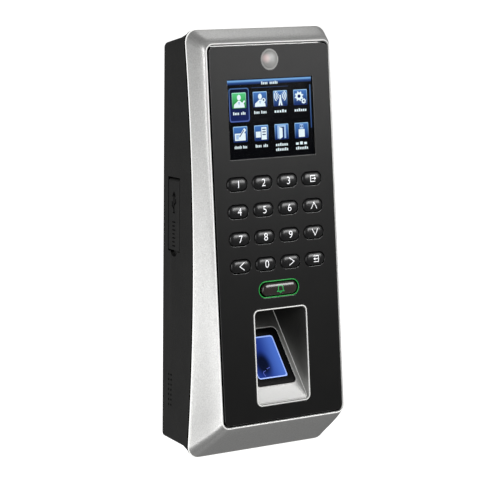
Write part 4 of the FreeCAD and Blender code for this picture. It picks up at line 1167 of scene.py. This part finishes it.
def make_board_parts():
    """Chips with legs, and small parts, on the main board."""
    face = -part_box("main_board")[1].y / MM
    parts = []
    for x, z, width, height, tall in CHIPS:
        parts.append(small_box("chip", "relay_black", x, z, width, height, face - tall, face - 0.2))
        legs = int(width / LEG_PITCH)
        for leg in range(legs):
            a = x - width / 2 + width * (leg + 0.5) / legs
            for side in (-1, 1):
                b = z + side * (height / 2 + 0.45)
                parts.append(small_box("leg", "steel", a, b, 0.5, 1.1, face - 0.35, face + 0.05, 0.1))
    for index in range(SMALL_PARTS):
        parts.append(small_box("chip_part", ("nylon", "relay_black")[index % 2], -18.0 + 2.9 * index,
                -1.2 + 1.5 * (index % 3), 1.6, 0.8, face - 0.5, face + 0.05, 0.1))
    piece(joined("board_parts", parts), "case", "circuit_board")


# ---- CAD nodes that stay as they are

NODE_FINISH = {
    "steel": "back_plate plate_screw case_screws main_board_screws front_board_screws lcd_frame coin_cell "
             "cover_pin usb_socket",
    "board": "main_board front_board sensor_board card_antenna",
    "dark": "sensor_body speaker tamper_switch reset_switch",
    "nylon": "wiring_headers board_cable reset_button tamper_button",
    "relay": "lock_relay", "silicone": "keypad_membrane", "foam": "panel_seal", "resin": "status_led",
}


def paint_nodes():
    for material, nodes in NODE_FINISH.items():
        for node in nodes.split():
            paint(frame["nodes"][node], material)


# ---- stage, light and camera

FLOOR_DROP = 0.08  # metres, as everything below
FLOOR_REACH = 14.0
STUDIO_LIGHTS = {  # place, aim, width and height in metres, power in watts
    "left_near": ((-0.6, 0.02, -0.25), (-0.03, 0, -0.05), 0.4, 0.4, 1.24),
    "left_front": ((-0.9, -0.35, -0.1), (-0.03, 0, 0), 0.5, 0.5, 0.4),
    "left_back": ((-0.7, 0.45, 0.1), (-0.03, 0, 0), 0.3, 0.6, 0.37),
    "beside_camera": ((-0.75, -0.8, 0.1), (-0.03, 0, 0), 0.4, 0.7, 1.5),
    "bevel_sheen": ((-0.52, -0.44, 0.28), (-0.03, 0, 0.05), 0.14, 0.3, 0.8),
    "panel_sheen": ((0.187, -0.292, 0.139), (0, -0.03, 0.06), 0.2, 0.12, 0.56),
    "key_sheen": ((0.3, -0.45, 0.36), (0, -0.03, 0.0), 0.45, 0.16, 0.34),
    "top_back": ((0.25, 0.3, 0.6), (0, -0.02, 0.08), 0.4, 0.3, 0.4),
    "low_front": ((0.1, -0.1, -0.65), (0, -0.02, -0.08), 0.4, 0.4, 0.08),
}
WORLD_STRENGTH = 0.22
CAMERA_PLACE = (-0.6463, -0.9057, 0.1692)
CAMERA_YAW = 36.036  # degrees from +Y toward +X
CAMERA_PITCH = -9.038
CAMERA_ROLL = 0.637
CAMERA_LENS = 166.3


def make_floor():
    """Pale paper below the terminal, clear from underneath."""
    level = CAD_LOW.z - FLOOR_DROP
    mesh = bpy.data.meshes.new("floor")
    corners = [(FLOOR_REACH * x, FLOOR_REACH * y, level) for x, y in ((-1, -1), (1, -1), (1, 1), (-1, 1))]
    mesh.from_pydata(corners, [], [(0, 1, 2, 3)])
    floor = add_object("floor", mesh)
    material, tree = new_material("floor_paper")
    set_shader(material, {"Base Color": (*grey(0.9), 1), "Roughness": 0.9, "Specular IOR Level": 0.0,
            "Emission Color": (1, 1, 1, 1), "Emission Strength": 0.95})
    underneath = add_node(tree, "NewGeometry", {})["Backfacing"]
    clear = add_node(tree, "BsdfTransparent", {})[0]
    mix_surfaces(tree, underneath, shader_of(material).outputs[0], clear)
    mesh.materials.append(material)
    configure(floor, visible_glossy=False, visible_diffuse=False, visible_shadow=False)


def make_world():
    """Dim light all round, and a white backdrop for the camera."""
    world = bpy.data.worlds.new("studio")
    bpy.context.scene.world = world
    world.use_nodes = True
    tree = world.node_tree
    direct = add_node(tree, "LightPath", {})["Is Camera Ray"]
    strength = map_range(tree, direct, (0.0, 1.0), (WORLD_STRENGTH, 1.0))
    feed(tree, tree.nodes["Background"], {"Color": (1, 1, 1, 1), "Strength": strength})


def make_light(name, place, aim, width, height, power):
    data = bpy.data.lights.new(name, "AREA")
    configure(data, shape="RECTANGLE", size=width, size_y=height, energy=power)
    turn = (Vector(aim) - Vector(place)).to_track_quat("-Z", "Y").to_euler()
    configure(add_object(name, data), location=place, rotation_euler=turn, visible_camera=False)


def make_camera():
    data = bpy.data.cameras.new("camera")
    configure(data, lens=CAMERA_LENS, sensor_width=36.0, clip_end=100.0)
    camera = add_object("camera", data)
    aim = Euler((math.radians(90 + CAMERA_PITCH), 0, math.radians(-CAMERA_YAW))).to_matrix().to_4x4()
    roll = Matrix.Rotation(math.radians(CAMERA_ROLL), 4, "Z")
    camera.matrix_world = Matrix.Translation(CAMERA_PLACE) @ aim @ roll
    bpy.context.scene.camera = camera


def make_stage():
    make_floor()
    make_world()
    for name, settings in STUDIO_LIGHTS.items():
        make_light(name, *settings)
    make_camera()
    bpy.context.scene.view_settings.view_transform = "Standard"


# ---- the scene

make_bezel()
make_panel()
make_keys()
make_bell()
make_lens()
make_recess()
make_sensor()
make_display()
make_wall_side()
make_header_sockets()
make_board_parts()
paint_nodes()
make_stage()
